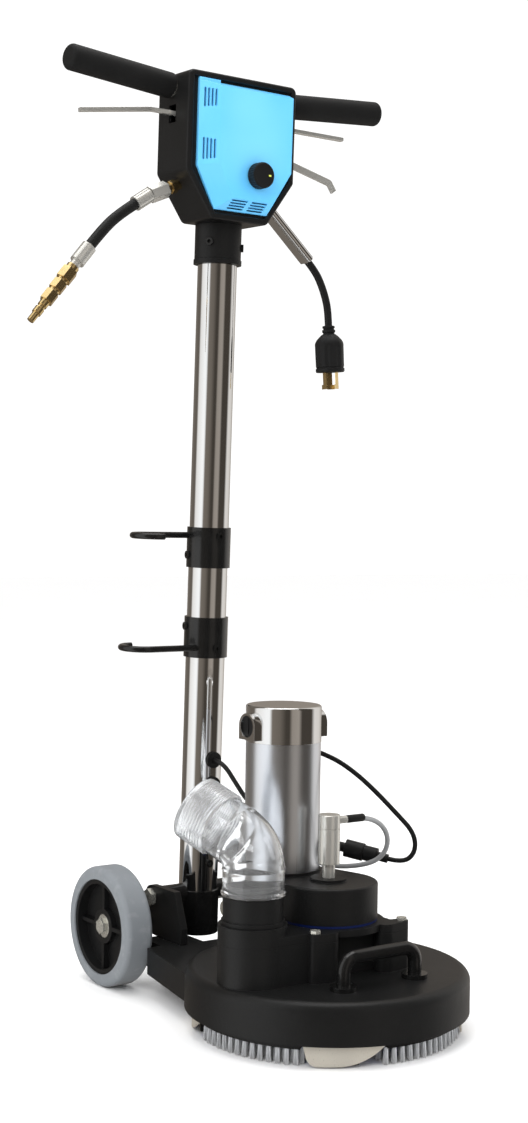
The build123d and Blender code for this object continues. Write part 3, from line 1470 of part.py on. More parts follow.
# in-line connector between the two leads
connector_left = Vector(*handle_lead_route[-1])
connector_right = Vector(*motor_lead_route[-1])
connector_way = (connector_right - connector_left).normalized()
connector_span = (connector_right - connector_left).length
connector_steps = [
    (0, 8, 6.0, 0),
    (8, connector_span / 2, 11.0, 0),
    (connector_span / 2, connector_span - 14, 9.5, 0),
    (connector_span - 14, connector_span, 5.5, 0),
]
write(turned_stack(connector_steps, connector_left, connector_way), "lead_connector")
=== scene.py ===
import json
import math
import random

import bmesh
import bpy
from mathutils import Matrix, Vector


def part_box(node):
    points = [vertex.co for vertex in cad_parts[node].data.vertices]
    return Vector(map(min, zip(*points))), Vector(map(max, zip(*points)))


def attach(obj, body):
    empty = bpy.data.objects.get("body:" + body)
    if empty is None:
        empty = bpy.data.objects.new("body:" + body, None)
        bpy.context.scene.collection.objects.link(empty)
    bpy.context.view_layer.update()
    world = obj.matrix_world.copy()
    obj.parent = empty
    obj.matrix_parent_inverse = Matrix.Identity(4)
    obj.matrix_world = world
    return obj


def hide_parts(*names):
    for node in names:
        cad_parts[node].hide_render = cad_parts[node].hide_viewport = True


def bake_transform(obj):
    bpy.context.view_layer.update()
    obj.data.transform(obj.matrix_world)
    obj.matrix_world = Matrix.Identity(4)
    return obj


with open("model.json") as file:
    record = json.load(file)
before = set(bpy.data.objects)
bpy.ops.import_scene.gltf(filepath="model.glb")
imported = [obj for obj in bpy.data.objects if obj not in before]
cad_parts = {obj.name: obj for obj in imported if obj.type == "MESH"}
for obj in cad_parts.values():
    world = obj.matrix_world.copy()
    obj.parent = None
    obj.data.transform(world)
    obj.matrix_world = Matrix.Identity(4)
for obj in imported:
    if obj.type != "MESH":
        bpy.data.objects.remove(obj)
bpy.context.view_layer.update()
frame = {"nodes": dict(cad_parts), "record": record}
NODES = frame["nodes"]

# ------------------------------------------------------------------ the leaning pole
LEAN = math.radians(1.86)
PIVOT_Y = 175.7
PIVOT_Z = 110


def handle_spot(across, back, up):
    """Point on the leaning handle, in metres, from millimetres across, back and up the pole."""
    y = PIVOT_Y - up * math.sin(LEAN) + back * math.cos(LEAN)
    z = PIVOT_Z + up * math.cos(LEAN) + back * math.sin(LEAN)
    return Vector((across / 1000, y / 1000, z / 1000))


# ------------------------------------------------------------------ camera
EYE = Vector((-1.2437, -1.7132, 0.5953))
LENS = 55.48


def aim_camera(azimuth, pitch, roll):
    """Camera at EYE; azimuth, pitch and roll in degrees."""
    turn, lift, tilt = (math.radians(v) for v in (azimuth, pitch, roll))
    back = Vector((math.sin(turn) * math.cos(lift), -math.cos(turn) * math.cos(lift), math.sin(lift)))
    right = Vector((math.cos(turn), math.sin(turn), 0))
    up = back.cross(right)
    right_rolled = right * math.cos(tilt) + up * math.sin(tilt)
    up_rolled = up * math.cos(tilt) - right * math.sin(tilt)
    lens = bpy.data.cameras.new("studio_camera")
    lens.lens = LENS
    lens.sensor_width = 36
    camera = bpy.data.objects.new("studio_camera", lens)
    bpy.context.scene.collection.objects.link(camera)
    turned = Matrix((right_rolled, up_rolled, back)).transposed().to_4x4()
    camera.matrix_world = Matrix.Translation(EYE) @ turned
    bpy.context.scene.camera = camera


aim_camera(-35.41, 1.31, 0.81)


# ------------------------------------------------------------------ finishes
class Signal:
    """A socket of a finish, so that maths on it reads as an expression and adds the Math nodes."""

    def __init__(self, finish, socket):
        self.finish = finish
        self.socket = socket

    def math(self, operation, first, second=0.0):
        return self.finish.node("ShaderNodeMath", {"operation": operation}, {0: first, 1: second})

    def __add__(self, other):
        return self.math("ADD", self, other)

    def __radd__(self, other):
        return self.math("ADD", other, self)

    def __sub__(self, other):
        return self.math("SUBTRACT", self, other)

    def __rsub__(self, other):
        return self.math("SUBTRACT", other, self)

    def __mul__(self, other):
        return self.math("MULTIPLY", self, other)

    def __rmul__(self, other):
        return self.math("MULTIPLY", other, self)

    def __truediv__(self, other):
        return self.math("DIVIDE", self, other)

    def sin(self):
        return self.math("SINE", self)

    def over(self, limit, softness=0.02):
        """0 below the limit, 1 above it, with a short slope between."""
        inputs = {"Value": self, "From Min": limit - softness, "From Max": limit + softness}
        return self.finish.node("ShaderNodeMapRange", {}, inputs)


class Finish:
    """One surface finish: a Principled shader with the constants given, and nodes added by name."""

    def __init__(self, name, **constants):
        self.material = bpy.data.materials.new(name)
        self.material.use_nodes = True
        self.tree = self.material.node_tree
        self.shader = self.tree.nodes["Principled BSDF"]
        for socket, value in constants.items():
            self.shader.inputs[socket.replace("_", " ")].default_value = value

    def node(self, kind, settings, inputs, output=0):
        """Adds a node: its settings first, then the values or links of its sockets."""
        made = self.tree.nodes.new(kind)
        for setting, value in settings.items():
            if setting == "stops":
                ramp = made.color_ramp
                while len(ramp.elements) < len(value):
                    ramp.elements.new(0.5)
                for element, (position, colour) in zip(ramp.elements, value):
                    element.position = position
                    element.color = colour
            else:
                setattr(made, setting, value)
        for socket, value in inputs.items():
            if isinstance(value, Signal):
                self.tree.links.new(value.socket, made.inputs[socket])
            else:
                made.inputs[socket].default_value = value
        return Signal(self, made.outputs[output])

    def place(self, stretch=(1, 1, 1)):
        """Position on the piece, in metres, multiplied by the stretch on each axis."""
        spot = self.node("ShaderNodeTexCoord", {}, {}, "Object")
        return self.node("ShaderNodeVectorMath", {"operation": "MULTIPLY"}, {0: spot, 1: stretch})

    def along(self, axis):
        spot = self.node("ShaderNodeTexCoord", {}, {}, "Object")
        return self.node("ShaderNodeSeparateXYZ", {}, {0: spot}, axis)

    def grain(self, per_metre, detail=3.0, stretch=(1, 1, 1), roughness=0.5):
        inputs = {"Vector": self.place(stretch), "Scale": per_metre, "Detail": detail, "Roughness": roughness}
        return self.node("ShaderNodeTexNoise", {}, inputs)

    def cells(self, per_metre):
        inputs = {"Vector": self.place(), "Scale": per_metre}
        return self.node("ShaderNodeTexVoronoi", {"feature": "F1"}, inputs)

    def tint(self, mask, first, second):
        """Colour that runs from the first to the second as the mask goes from 0 to 1."""
        inputs = {0: mask, 6: first, 7: second}
        return self.node("ShaderNodeMix", {"data_type": "RGBA"}, inputs, 2)

    def edge(self):
        """1 on exposed edges, 0 on flats."""
        pointed = self.node("ShaderNodeNewGeometry", {}, {}, "Pointiness")
        return pointed.over(0.53, 0.03)

    def relief(self, height, depth, edge_radius=0.0):
        """Bump of the height signal; depth in metres. An edge radius softens sharp edges."""
        inputs = {"Height": height, "Distance": depth, "Strength": 1.0}
        if edge_radius:
            inputs["Normal"] = self.node("ShaderNodeBevel", {"samples": 4}, {"Radius": edge_radius})
        self.feed("Normal", self.node("ShaderNodeBump", {}, inputs))

    def feed(self, socket, signal):
        self.tree.links.new(signal.socket, self.shader.inputs[socket])


def grey(level, tone=0.0):
    """Neutral colour of a level, cooler with a positive tone and warmer with a negative one."""
    return (level * (1 - tone), level, level * (1 + tone), 1)


def powder_coat():
    f = Finish("black_powder_coat", Metallic=0.0, Specular_IOR_Level=0.24)
    orange_peel = f.grain(520, 2)
    blotch = f.grain(14, 4)
    speck = f.cells(900)
    f.feed("Base Color", f.tint(blotch, grey(0.0055), grey(0.0105, 0.02)))
    f.feed("Roughness", 0.30 + 0.14 * blotch + 0.08 * f.edge())
    f.relief(orange_peel * 0.75 + speck * 0.25, 0.00022, 0.0012)
    return f


def moulded_black(name, per_metre=1400, shine=0.36, level=0.008):
    f = Finish(name, Metallic=0.0, Specular_IOR_Level=0.24)
    pebble = f.cells(per_metre)
    haze = f.grain(9, 3)
    f.feed("Base Color", f.tint(haze, grey(level * 0.8), grey(level * 1.2, 0.03)))
    f.feed("Roughness", shine + 0.12 * haze)
    f.relief(pebble, 0.00006, 0.001)
    return f


def gloss_black():
    f = Finish(
        "gloss_black_enamel", Metallic=0.0, Coat_Weight=0.35, Coat_Roughness=0.06, Specular_IOR_Level=0.28
    )
    wave = f.grain(60, 2)
    f.feed("Base Color", f.tint(wave, grey(0.004), grey(0.007)))
    f.feed("Roughness", 0.20 + 0.10 * wave)
    f.relief(f.grain(300, 2), 0.00002, 0.0008)
    return f


def plain_plastic(name, first, second, shine, level=0.35):
    f = Finish(name, Metallic=0.0, Specular_IOR_Level=level)
    haze = f.grain(11, 3)
    f.feed("Base Color", f.tint(haze, first, second))
    f.feed("Roughness", shine + 0.1 * haze)
    f.relief(f.grain(900, 2), 0.00004, 0.0012)
    return f


def sky_blue_shell():
    f = Finish("sky_blue_cover", Metallic=0.0, Specular_IOR_Level=0.6)
    haze = f.grain(7, 3)
    # Painted highlight: above 1.06 m the cover is lightened in patches towards pale sky blue, standing in for
    # the soft glare of light on the panel.
    painted_highlight_noise = f.grain(9.0, 1.0, roughness=0.4)
    painted_highlight = (painted_highlight_noise * 2.4 - 0.75) * f.along("Z").over(1.06, 0.05)
    base = f.tint(haze, (0.085, 0.44, 0.80, 1), (0.12, 0.49, 0.85, 1))
    f.feed("Base Color", f.tint(painted_highlight * 0.55, base, (0.30, 0.72, 0.95, 1)))
    f.feed("Roughness", 0.24 + 0.1 * haze)
    f.relief(f.grain(900, 2), 0.00004, 0.0012)
    return f


def foam_grip():
    f = Finish("black_foam_grip", Metallic=0.0, Specular_IOR_Level=0.16)
    cell = f.cells(1500)
    rub = f.grain(25, 4)
    f.feed("Base Color", f.tint(rub, grey(0.006), grey(0.011)))
    f.feed("Roughness", 0.5 + 0.18 * rub)
    f.relief(cell * 0.7 + f.grain(400, 3) * 0.3, 0.00012)
    return f


def rubber(name, level=0.008, shine=0.42, per_metre=900, specular=0.25):
    f = Finish(name, Metallic=0.0, Specular_IOR_Level=specular)
    mottle = f.grain(40, 4)
    f.feed("Base Color", f.tint(mottle, grey(level * 0.8), grey(level * 1.25, 0.02)))
    f.feed("Roughness", shine + 0.16 * mottle)
    f.relief(f.grain(per_metre, 3), 0.00008)
    return f


def polished_chrome():
    f = Finish("polished_chrome", Metallic=1.0)
    smear = f.grain(16, 5, (1, 1, 0.25))
    draw = f.grain(700, 2, (1, 1, 0.01))
    f.feed("Base Color", f.tint(smear, grey(0.70, 0.01), grey(0.80)))
    f.feed("Roughness", 0.035 + 0.04 * smear)
    f.relief(draw, 0.000003, 0.0006)
    return f


def turned_metal(name, colour, shine, stretch, depth=0.00001, spread=0.08, fade=0.86, metal=1.0):
    """Bare metal with fine lines; the stretch is large across the lines and small along them."""
    f = Finish(name, Metallic=metal)
    line = f.grain(600, 3, stretch)
    cloud = f.grain(18, 4)
    dark = tuple(c * fade for c in colour[:3]) + (1,)
    f.feed("Base Color", f.tint(line * 0.4 + cloud * 0.6, dark, colour))
    f.feed("Roughness", shine + spread * line)
    f.relief(line, depth, 0.0007)
    return f


def brass_plate():
    f = Finish("machined_brass", Metallic=1.0)
    colour = (0.90, 0.68, 0.33, 1)
    cloud = f.grain(60, 3)
    dark = tuple(c * 0.8 for c in colour[:3]) + (1,)
    f.feed("Base Color", f.tint(cloud, dark, colour))
    f.feed("Roughness", 0.16 + 0.1 * cloud)
    f.relief(f.grain(1500, 2), 0.00001, 0.0006)
    return f


def grey_tyre():
    f = Finish("grey_tyre_rubber", Metallic=0.0, Specular_IOR_Level=0.3)
    mottle = f.grain(18, 5)
    scuff = f.grain(90, 4).over(0.62, 0.06)
    base = f.tint(mottle, (0.175, 0.190, 0.205, 1), (0.225, 0.242, 0.258, 1))
    f.feed("Base Color", f.tint(scuff * 0.25, base, (0.30, 0.31, 0.32, 1)))
    f.feed("Roughness", 0.48 + 0.14 * mottle)
    f.relief(f.grain(700, 3), 0.00012, 0.002)
    return f


def clear_plastic():
    f = Finish("clear_polycarbonate", Metallic=0.0, IOR=1.5, Transmission_Weight=0.96)
    swirl = f.grain(22, 4)
    scratch = f.grain(260, 3, (1, 1, 0.15)).over(0.66, 0.05)
    f.feed("Base Color", f.tint(swirl, (0.95, 0.965, 0.98, 1), (0.99, 0.995, 1.0, 1)))
    f.feed("Roughness", 0.02 + 0.03 * swirl + 0.1 * scratch)
    f.relief(swirl, 0.0004)
    return f


def frosted_plastic():
    f = Finish("frosted_plastic", Metallic=0.0, IOR=1.4, Transmission_Weight=0.85)
    swirl = f.grain(60, 4)
    f.feed("Base Color", f.tint(swirl, (0.84, 0.86, 0.88, 1), (0.94, 0.95, 0.96, 1)))
    f.feed("Roughness", 0.10 + 0.12 * swirl)
    f.relief(swirl, 0.0002)
    return f


def nylon_bristle():
    f = Finish("grey_nylon_bristle", Metallic=0.0, Specular_IOR_Level=0.45)
    strand = f.grain(900, 2, (1, 1, 0.05))
    tip = 1 - f.along("Z").over(0.004, 0.004)
    base = f.tint(strand, (0.38, 0.39, 0.40, 1), (0.66, 0.67, 0.69, 1))
    f.feed("Base Color", f.tint(tip * 0.5, base, (0.75, 0.75, 0.75, 1)))
    f.feed("Roughness", 0.34 + 0.2 * strand)
    f.relief(strand, 0.0001)
    return f


POWDER = powder_coat()
SATIN_SHELL = moulded_black("satin_black_shell", 1400, 0.34)
MATTE_BLACK = moulded_black("matte_black_plastic", 1100, 0.42)
RIM_BLACK = moulded_black("black_rim_plastic", 700, 0.34)
GLOSS = gloss_black()
SKY_BLUE = sky_blue_shell()
GASKET_BLUE = plain_plastic("gasket_blue", (0.003, 0.008, 0.05, 1), (0.005, 0.013, 0.08, 1), 0.5, 0.2)
FOAM = foam_grip()
BLACK_RUBBER = rubber("black_rubber")
CORD_RUBBER = rubber("cord_jacket", 0.008, 0.34, 500)
GREY_HOSE = rubber("grey_hose_jacket", 0.24, 0.34, 400, 0.4)
BLUE_DISC = plain_plastic("blue_disc_plastic", (0.012, 0.045, 0.26, 1), (0.020, 0.065, 0.36, 1), 0.32)
CHROME = polished_chrome()
MOTOR_METAL = turned_metal(
    "brushed_motor_aluminium", (0.74, 0.77, 0.82, 1), 0.26, (1, 1, 0.01), 0.000004, 0.05, 0.93
)
STAINLESS = turned_metal("brushed_stainless", (0.66, 0.65, 0.61, 1), 0.2, (1, 1, 0.03), metal=0.72)
ZINC = turned_metal("zinc_plated_steel", (0.68, 0.67, 0.61, 1), 0.22, (1, 1, 1), metal=0.75)
PULLEY_METAL = turned_metal("cast_pulley", (0.6, 0.6, 0.62, 1), 0.35, (1, 1, 1))
BRONZE = turned_metal("warm_glide_plate", (0.66, 0.62, 0.54, 1), 0.25, (1, 1, 1), fade=0.72, metal=0.35)
BRASS = brass_plate()
TYRE = grey_tyre()
CLEAR = clear_plastic()
FROSTED = frosted_plastic()
BRISTLE = nylon_bristle()
POINTER = plain_plastic("pointer_paint", (0.55, 0.62, 0.08, 1), (0.65, 0.72, 0.12, 1), 0.3)

FINISHES = {
    "cast_black": POWDER,
    "gloss_black": GLOSS,
    "matte_black": MATTE_BLACK,
    "black_steel": GLOSS,
    "black_rubber": BLACK_RUBBER,
    "grey_hose": GREY_HOSE,
    "clear_plastic": CLEAR,
    "frosted_plastic": FROSTED,
    "blue_cover": SKY_BLUE,
    "blue_disc": BLUE_DISC,
    "bristle_grey": BRISTLE,
    "motor_aluminium": MOTOR_METAL,
    "pulley_aluminium": PULLEY_METAL,
    "zinc_steel": ZINC,
    "stainless": STAINLESS,
    "chrome_steel": CHROME,
    "bronze": BRONZE,
    "brass": BRASS,
    "grey_tyre": TYRE,
    "rim_black": RIM_BLACK,
}
NODE_FINISHES = {
    "rear_shell": SATIN_SHELL,
    "grip_left": FOAM,
    "grip_right": FOAM,
    "pivot_socket": GLOSS,
    "drive_cover": POWDER,
    "drive_gasket": GASKET_BLUE,
    "motor_end_bell": CHROME,
    "lever_left": STAINLESS,
    "lever_right": STAINLESS,
    "trigger_water": STAINLESS,
}


def dress(piece, finish):
    piece.data.materials.clear()
    piece.data.materials.append(finish.material)


for part in frame["record"]["subparts"]:
    dress(NODES[part["node"]], NODE_FINISHES.get(part["node"], FINISHES[part["material_slot"]]))


# ------------------------------------------------------------------ mesh helpers
def new_piece(name, shape, finish, smooth=True):
    """Object from a bmesh."""
    data = bpy.data.meshes.new(name)
    shape.to_mesh(data)
    shape.free()
    for face in data.polygons:
        face.use_smooth = smooth
    piece = bpy.data.objects.new(name, data)
    bpy.context.scene.collection.objects.link(piece)
    data.materials.append(finish.material)
    return piece


def axes_for(way):
    """Two directions square to a way."""
    side = way.cross(Vector((0, 0, 1)))
    if side.length < 0.01:
        side = Vector((1, 0, 0))
    side.normalize()
    return side, side.cross(way).normalized()


def add_ring(shape, centre, side, rise, sizes, first=0.0):
    """Ring of points round a centre, one for each of the sizes, which are its radii."""
    ring = []
    for k, size in enumerate(sizes):
        turn = 2 * math.pi * (k + first) / len(sizes)
        ring.append(shape.verts.new(centre + (side * math.cos(turn) + rise * math.sin(turn)) * size))
    return ring


def bridge(shape, low, high):
    """Faces between two rings with the same number of points."""
    for k in range(len(low)):
        n = (k + 1) % len(low)
        shape.faces.new((low[k], low[n], high[n], high[k]))


def close_tube(shape, rings):
    """Faces along the rings and over both ends, facing out."""
    for low, high in zip(rings, rings[1:]):
        bridge(shape, low, high)
    shape.faces.new(list(reversed(rings[0])))
    shape.faces.new(rings[-1])
    bmesh.ops.recalc_face_normals(shape, faces=shape.faces)


def turned(profile, start, way, sides=64, flute=None):
    """Surface turned about an axis through (distance, radius) pairs; flute gives a radius factor by angle."""
    shape = bmesh.new()
    side, rise = axes_for(way)
    rings = []
    for distance, radius in profile:
        sizes = [radius * (flute(distance, 2 * math.pi * k / sides) if flute else 1) for k in range(sides)]
        rings.append(add_ring(shape, start + way * distance, side, rise, sizes))
    close_tube(shape, rings)
    return shape


def tube_mesh(path, radius, sides=16):
    """Closed round tube along a path, with each ring carried on from the last so that it never twists."""
    shape = bmesh.new()
    side, _ = axes_for(path[1] - path[0])
    rings = []
    for k, spot in enumerate(path):
        way = (path[min(k + 1, len(path) - 1)] - path[max(k - 1, 0)]).normalized()
        side = (side - way * side.dot(way)).normalized()
        rings.append(add_ring(shape, spot, side, way.cross(side), [radius] * sides))
    close_tube(shape, rings)
    return shape


def sharpen(piece, degrees=32):
    """Smooth shading that breaks at corners."""
    bpy.context.view_layer.objects.active = piece
    for other in bpy.context.selected_objects:
        other.select_set(False)
    piece.select_set(True)
    bpy.ops.object.shade_smooth_by_angle(angle=math.radians(degrees))
    piece.select_set(False)


# ------------------------------------------------------------------ cords
def curve_piece(name, points, diameter, finish):
    """Round cord on one smooth NURBS spline through given control points, in millimetres."""
    line = bpy.data.curves.new(name, "CURVE")
    line.dimensions = "3D"
    spline = line.splines.new("NURBS")
    spline.points.add(len(points) - 1)
    for control, (x, y, z) in zip(spline.points, points):
        control.co = (x / 1000, y / 1000, z / 1000, 1)
    spline.order_u = 3
    spline.use_endpoint_u = True
    spline.resolution_u = 10
    line.bevel_depth = diameter / 2000
    line.bevel_resolution = 6
    line.use_fill_caps = True
    piece = bpy.data.objects.new(name, line)
    bpy.context.scene.collection.objects.link(piece)
    piece.data.materials.append(finish.material)
    return piece


MAINS_ROUTE = [
    (121.0, 119.0, 939.5),
    (135.5, 119.0, 926.5),
    (147.0, 119.5, 908.0),
    (154.5, 119.0, 888.0),
    (157.5, 119.0, 872.0),
    (158.5, 119.0, 857.0),
]
INLET_ROUTE = [
    (-134.0, 133.0, 986.0),
    (-158.0, 133.0, 970.0),
    (-180.0, 133.0, 949.0),
    (-198.5, 133.0, 926.5),
]
MOTOR_LEAD_ROUTE = [
    (32.6, -11.5, 314.0),
    (46.0, -7.4, 314.0),
    (62.0, -11.0, 308.0),
    (78.0, -22.0, 299.0),
    (96.0, -36.0, 283.0),
    (114.0, -51.0, 262.0),
    (131.0, -68.0, 238.0),
    (146.0, -87.0, 214.0),
    (147.6, -88.5, 190.0),
    (137.8, -77.2, 175.7),
    (125.2, -61.8, 179.6),
]
HANDLE_LEAD_ROUTE = [
    (0.0, 143.5, 286.55),
    (0.0, 130.5, 286.13),
    (3.0, 117.0, 279.0),
    (8.0, 104.0, 262.0),
    (14.0, 88.0, 242.0),
    (24.0, 68.0, 225.0),
    (38.0, 46.0, 211.0),
    (54.0, 26.0, 202.0),
    (69.8, 5.8, 196.4),
    (86.0, -14.0, 191.5),
]
SOLUTION_ROUTE = [
    (25.1, -104.0, 244.0),
    (48.0, -104.0, 244.0),
    (70.0, -103.0, 239.0),
    (88.0, -100.0, 227.0),
    (99.0, -94.0, 210.0),
    (100.0, -86.0, 193.0),
    (93.0, -74.0, 181.0),
    (80.0, -58.0, 175.0),
    (66.0, -38.0, 172.0),
    (57.0, -12.0, 172.5),
    (52.0, 18.0, 178.0),
    (42.0, 50.0, 189.0),
    (28.0, 76.0, 208.0),
    (14.0, 98.0, 230.0),
    (5.0, 115.0, 247.0),
    (0.0, 131.5, 253.64),
    (0.0, 144.5, 254.06),
]


def lay_cord(name, node, points, diameter, finish, body):
    """Cord that rides whole on one body."""
    piece = curve_piece(name, points, diameter, finish)
    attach(piece, body)
    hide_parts(node)
    return piece


def spline_path(points):
    """Points along the same smooth spline that a curve piece follows, in metres."""
    line = curve_piece("path_sample", points, 0, CORD_RUBBER)
    graph = bpy.context.evaluated_depsgraph_get()
    sampled = line.evaluated_get(graph).to_mesh()
    path = [spot.co.copy() for spot in sampled.vertices]
    line.evaluated_get(graph).to_mesh_clear()
    data = line.data
    bpy.data.objects.remove(line)
    bpy.data.curves.remove(data)
    return path


def bending_cord(name, node, points, diameter, finish):
    """Cord to the pole, made as a tube mesh along its spline."""
    path = spline_path(points)
    piece = new_piece(name, tube_mesh(path, diameter / 2000), finish)
    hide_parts(node)
    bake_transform(piece)
    return piece


# ------------------------------------------------------------------ twist-lock plug
plug_top = Vector(MAINS_ROUTE[-1]) / 1000
plug_way = (Vector(MAINS_ROUTE[-1]) - Vector(MAINS_ROUTE[-2])).normalized()


def plug_flutes(distance, turn):
    """Eight finger flutes on the lower body."""
    depth = 0.05 if 0.026 < distance < 0.056 else 0.0
    return 1 - depth * (0.5 + 0.5 * math.cos(8 * turn)) ** 3


plug_profile = [
    (0.0000, 0.0055),
    (0.0005, 0.0080),
    (0.0030, 0.0085),
    (0.0036, 0.0072),
    (0.0052, 0.0072),
    (0.0058, 0.0088),
    (0.0088, 0.0088),
    (0.0094, 0.0076),
    (0.0110, 0.0076),
    (0.0120, 0.0098),
    (0.0150, 0.0130),
    (0.0190, 0.0168),
    (0.0225, 0.0186),
    (0.0250, 0.0192),
    (0.0275, 0.0192),
    (0.0300, 0.0192),
    (0.0360, 0.0192),
    (0.0430, 0.0191),
    (0.0500, 0.0190),
    (0.0545, 0.0190),
    (0.0552, 0.0182),
    (0.0562, 0.0182),
    (0.0568, 0.0192),
    (0.0605, 0.0192),
    (0.0617, 0.0184),
    (0.0618, 0.0120),
]
plug = new_piece("twist_lock_plug", turned(plug_profile, plug_top, plug_way, 96, plug_flutes), MATTE_BLACK)
sharpen(plug, 40)
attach(plug, "handle")
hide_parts("plug_body")

lay_cord(
    "mains_flex",
    "mains_cord",
    MAINS_ROUTE,
    10,
    CORD_RUBBER,
    "handle",
)
lay_cord(
    "inlet_flex",
    "inlet_hose",
    INLET_ROUTE,
    14,
    CORD_RUBBER,
    "handle",
)
lay_cord(
    "motor_flex", "motor_lead", MOTOR_LEAD_ROUTE, 6, CORD_RUBBER, "chassis"
)
bending_cord(
    "handle_flex",
    "handle_lead",
    HANDLE_LEAD_ROUTE,
    6,
    CORD_RUBBER,
)
bending_cord(
    "water_flex",
    "solution_hose",
    SOLUTION_ROUTE,
    6,
    GREY_HOSE,
)

# ------------------------------------------------------------------ sleeve on the water hose at the swivel
SLEEVE_START = Vector((0.0262, -0.104, 0.244))
sleeve_profile = [
    (0.0, 0.0031),
    (0.0004, 0.0045),
    (0.0010, 0.0047),
    (0.0240, 0.0047),
    (0.0248, 0.0044),
    (0.0252, 0.0031),
]
sleeve = new_piece(
    "hose_sleeve", turned(sleeve_profile, SLEEVE_START, Vector((1, 0, 0)), 32), BLACK_RUBBER
)
sharpen(sleeve, 40)
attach(sleeve, "chassis")

# ------------------------------------------------------------------ panels behind the cover's vents
VENT_PANELS = ((-64, -44, 932, 1028), (-26, 36, 878, 893))
PANEL_BACKS = (-44.6, -43.6)


def vent_panels():
    """Flat panels close behind the side vents and the foot vents."""
    shape = bmesh.new()
    for left, right, low_edge, high_edge in VENT_PANELS:
        corners = ((left, low_edge), (right, low_edge), (right, high_edge), (left, high_edge))
        rings = [[shape.verts.new(handle_spot(x, back, s)) for x, s in corners] for back in PANEL_BACKS]
        close_tube(shape, rings)
    return shape


vent_backing = new_piece("vent_backing", vent_panels(), SKY_BLUE, False)
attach(vent_backing, "handle")

# ------------------------------------------------------------------ speed knob
low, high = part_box("speed_knob")
knob_way = Vector((0, -math.cos(LEAN), -math.sin(LEAN)))
knob_centre = Vector(((low.x + high.x) / 2, low.y, (low.z + high.z) / 2))
knob_start = knob_centre - knob_way * 0.0137


def knob_flutes(distance, turn):
    """Fine finger ridges round the side."""
    depth = 0.035 if 0.0012 < distance < 0.0118 else 0.0
    return 1 - depth * (0.5 + 0.5 * math.cos(30 * turn))


knob_profile = [
    (0.0000, 0.0150),
    (0.0004, 0.0163),
    (0.0010, 0.0165),
    (0.0016, 0.0165),
    (0.0060, 0.0164),
    (0.0112, 0.0162),
    (0.0124, 0.0160),
    (0.0132, 0.0153),
    (0.0137, 0.0143),
    (0.0134, 0.0132),
    (0.0132, 0.0060),
]
knob = new_piece("speed_dial", turned(knob_profile, knob_start, knob_way, 240, knob_flutes), MATTE_BLACK)
sharpen(knob, 40)
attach(knob, "knob")
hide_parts("speed_knob")

mark = bmesh.new()
mark_at = knob_start + knob_way * 0.0134 + Vector((0.0088, 0, 0))
bmesh.ops.create_cube(
    mark,
    size=1,
    matrix=Matrix.Translation(mark_at) @ Matrix.Diagonal((0.0032, 0.0008, 0.0022, 1)),
)
pointer = new_piece("dial_pointer", mark, POINTER, False)
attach(pointer, "knob")

# ------------------------------------------------------------------ clear elbow and ribbed cuff
PORT = Vector((-0.118, -0.118, 0))
ELBOW_RISE = math.radians(25)
ELBOW_HEADING = math.radians(113.6)
elbow_way = Vector(
    (
        math.cos(ELBOW_RISE) * math.cos(ELBOW_HEADING),
        math.cos(ELBOW_RISE) * math.sin(ELBOW_HEADING),
        math.sin(ELBOW_RISE),
    )
)
elbow_foot = PORT + Vector((0, 0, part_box("elbow_pipe")[0].z))
BEND_HEIGHT = 0.227
REACH = 0.088
BEND_RADIUS = 0.038
BARREL_OUTER = 0.0355
LEG_OUTER = 0.0354
TUBE_INNER = 0.0325
STEP = 0.0009
CUFF_LENGTH = 0.040
CUFF_INNER = 0.0356
CUFF_BODY = 0.0378
RIB_FOOT = 0.0380
RIB_HEIGHT = 0.0010
RIBS = 8
RIB_STATIONS = 8
RIM_OUTER = 0.0386
elbow_corner = PORT + Vector((0, 0, BEND_HEIGHT))
elbow_mouth = elbow_corner + elbow_way * REACH


def swept_tube(stations, sides=96):
    """Closed tube wall through (centre, way, outer radius, inner radius) stations."""
    shape = bmesh.new()
    side = Vector((0, 0, 1)).cross(elbow_way).normalized()
    outer_rings = []
    inner_rings = []
    for centre, way, outer, inner in stations:
        rise = side.cross(way).normalized()
        outer_rings.append(add_ring(shape, centre, side, rise, [outer] * sides))
        inner_rings.append(add_ring(shape, centre, side, rise, [inner] * sides))
    for rings in (outer_rings, inner_rings):
        for low_ring, high_ring in zip(rings, rings[1:]):
            bridge(shape, low_ring, high_ring)
    for end in (0, -1):
        bridge(shape, outer_rings[end], inner_rings[end])
    bmesh.ops.recalc_face_normals(shape, faces=shape.faces)
    return shape


def elbow_stations():
    """Foot lip, upright barrel, a bend with a soft step at each end, and the leg into the cuff."""
    up = Vector((0, 0, 1))
    tangent = BEND_RADIUS * math.tan((math.pi / 2 - ELBOW_RISE) / 2)
    bend_start = elbow_corner - up * tangent
    centre = bend_start + (elbow_way - up * elbow_way.z).normalized() * BEND_RADIUS
    barrel = (bend_start - elbow_foot).length
    stations = []
    for distance, swell in (
        (0.0, 0.0010),
        (0.0006, 0.0016),
        (0.0034, 0.0016),
        (0.0044, 0.0004),
        (0.0100, 0.0),
        (barrel * 0.5, 0.0),
        (barrel - 0.004, 0.0),
        (barrel - 0.002, STEP),
        (barrel, STEP),
    ):
        stations.append((elbow_foot + up * distance, up, BARREL_OUTER + swell, TUBE_INNER))
    toward = (bend_start - centre).normalized()
    steps = 12
    for k in range(1, steps):
        turn = (math.pi / 2 - ELBOW_RISE) * k / steps
        way = up * math.cos(turn) + toward * -1 * math.sin(turn)
        spot = centre + (toward * math.cos(turn) + up * math.sin(turn)) * BEND_RADIUS
        stations.append((spot, way.normalized(), BARREL_OUTER, TUBE_INNER))
    leg_start = elbow_corner + elbow_way * tangent
    leg = (elbow_mouth - leg_start).length
    for distance, swell in ((0.0, STEP), (0.002, STEP), (0.004, 0.0), (leg - CUFF_LENGTH, 0.0), (leg, 0.0)):
        stations.append((leg_start + elbow_way * distance, elbow_way, LEG_OUTER + swell, TUBE_INNER))
    return stations


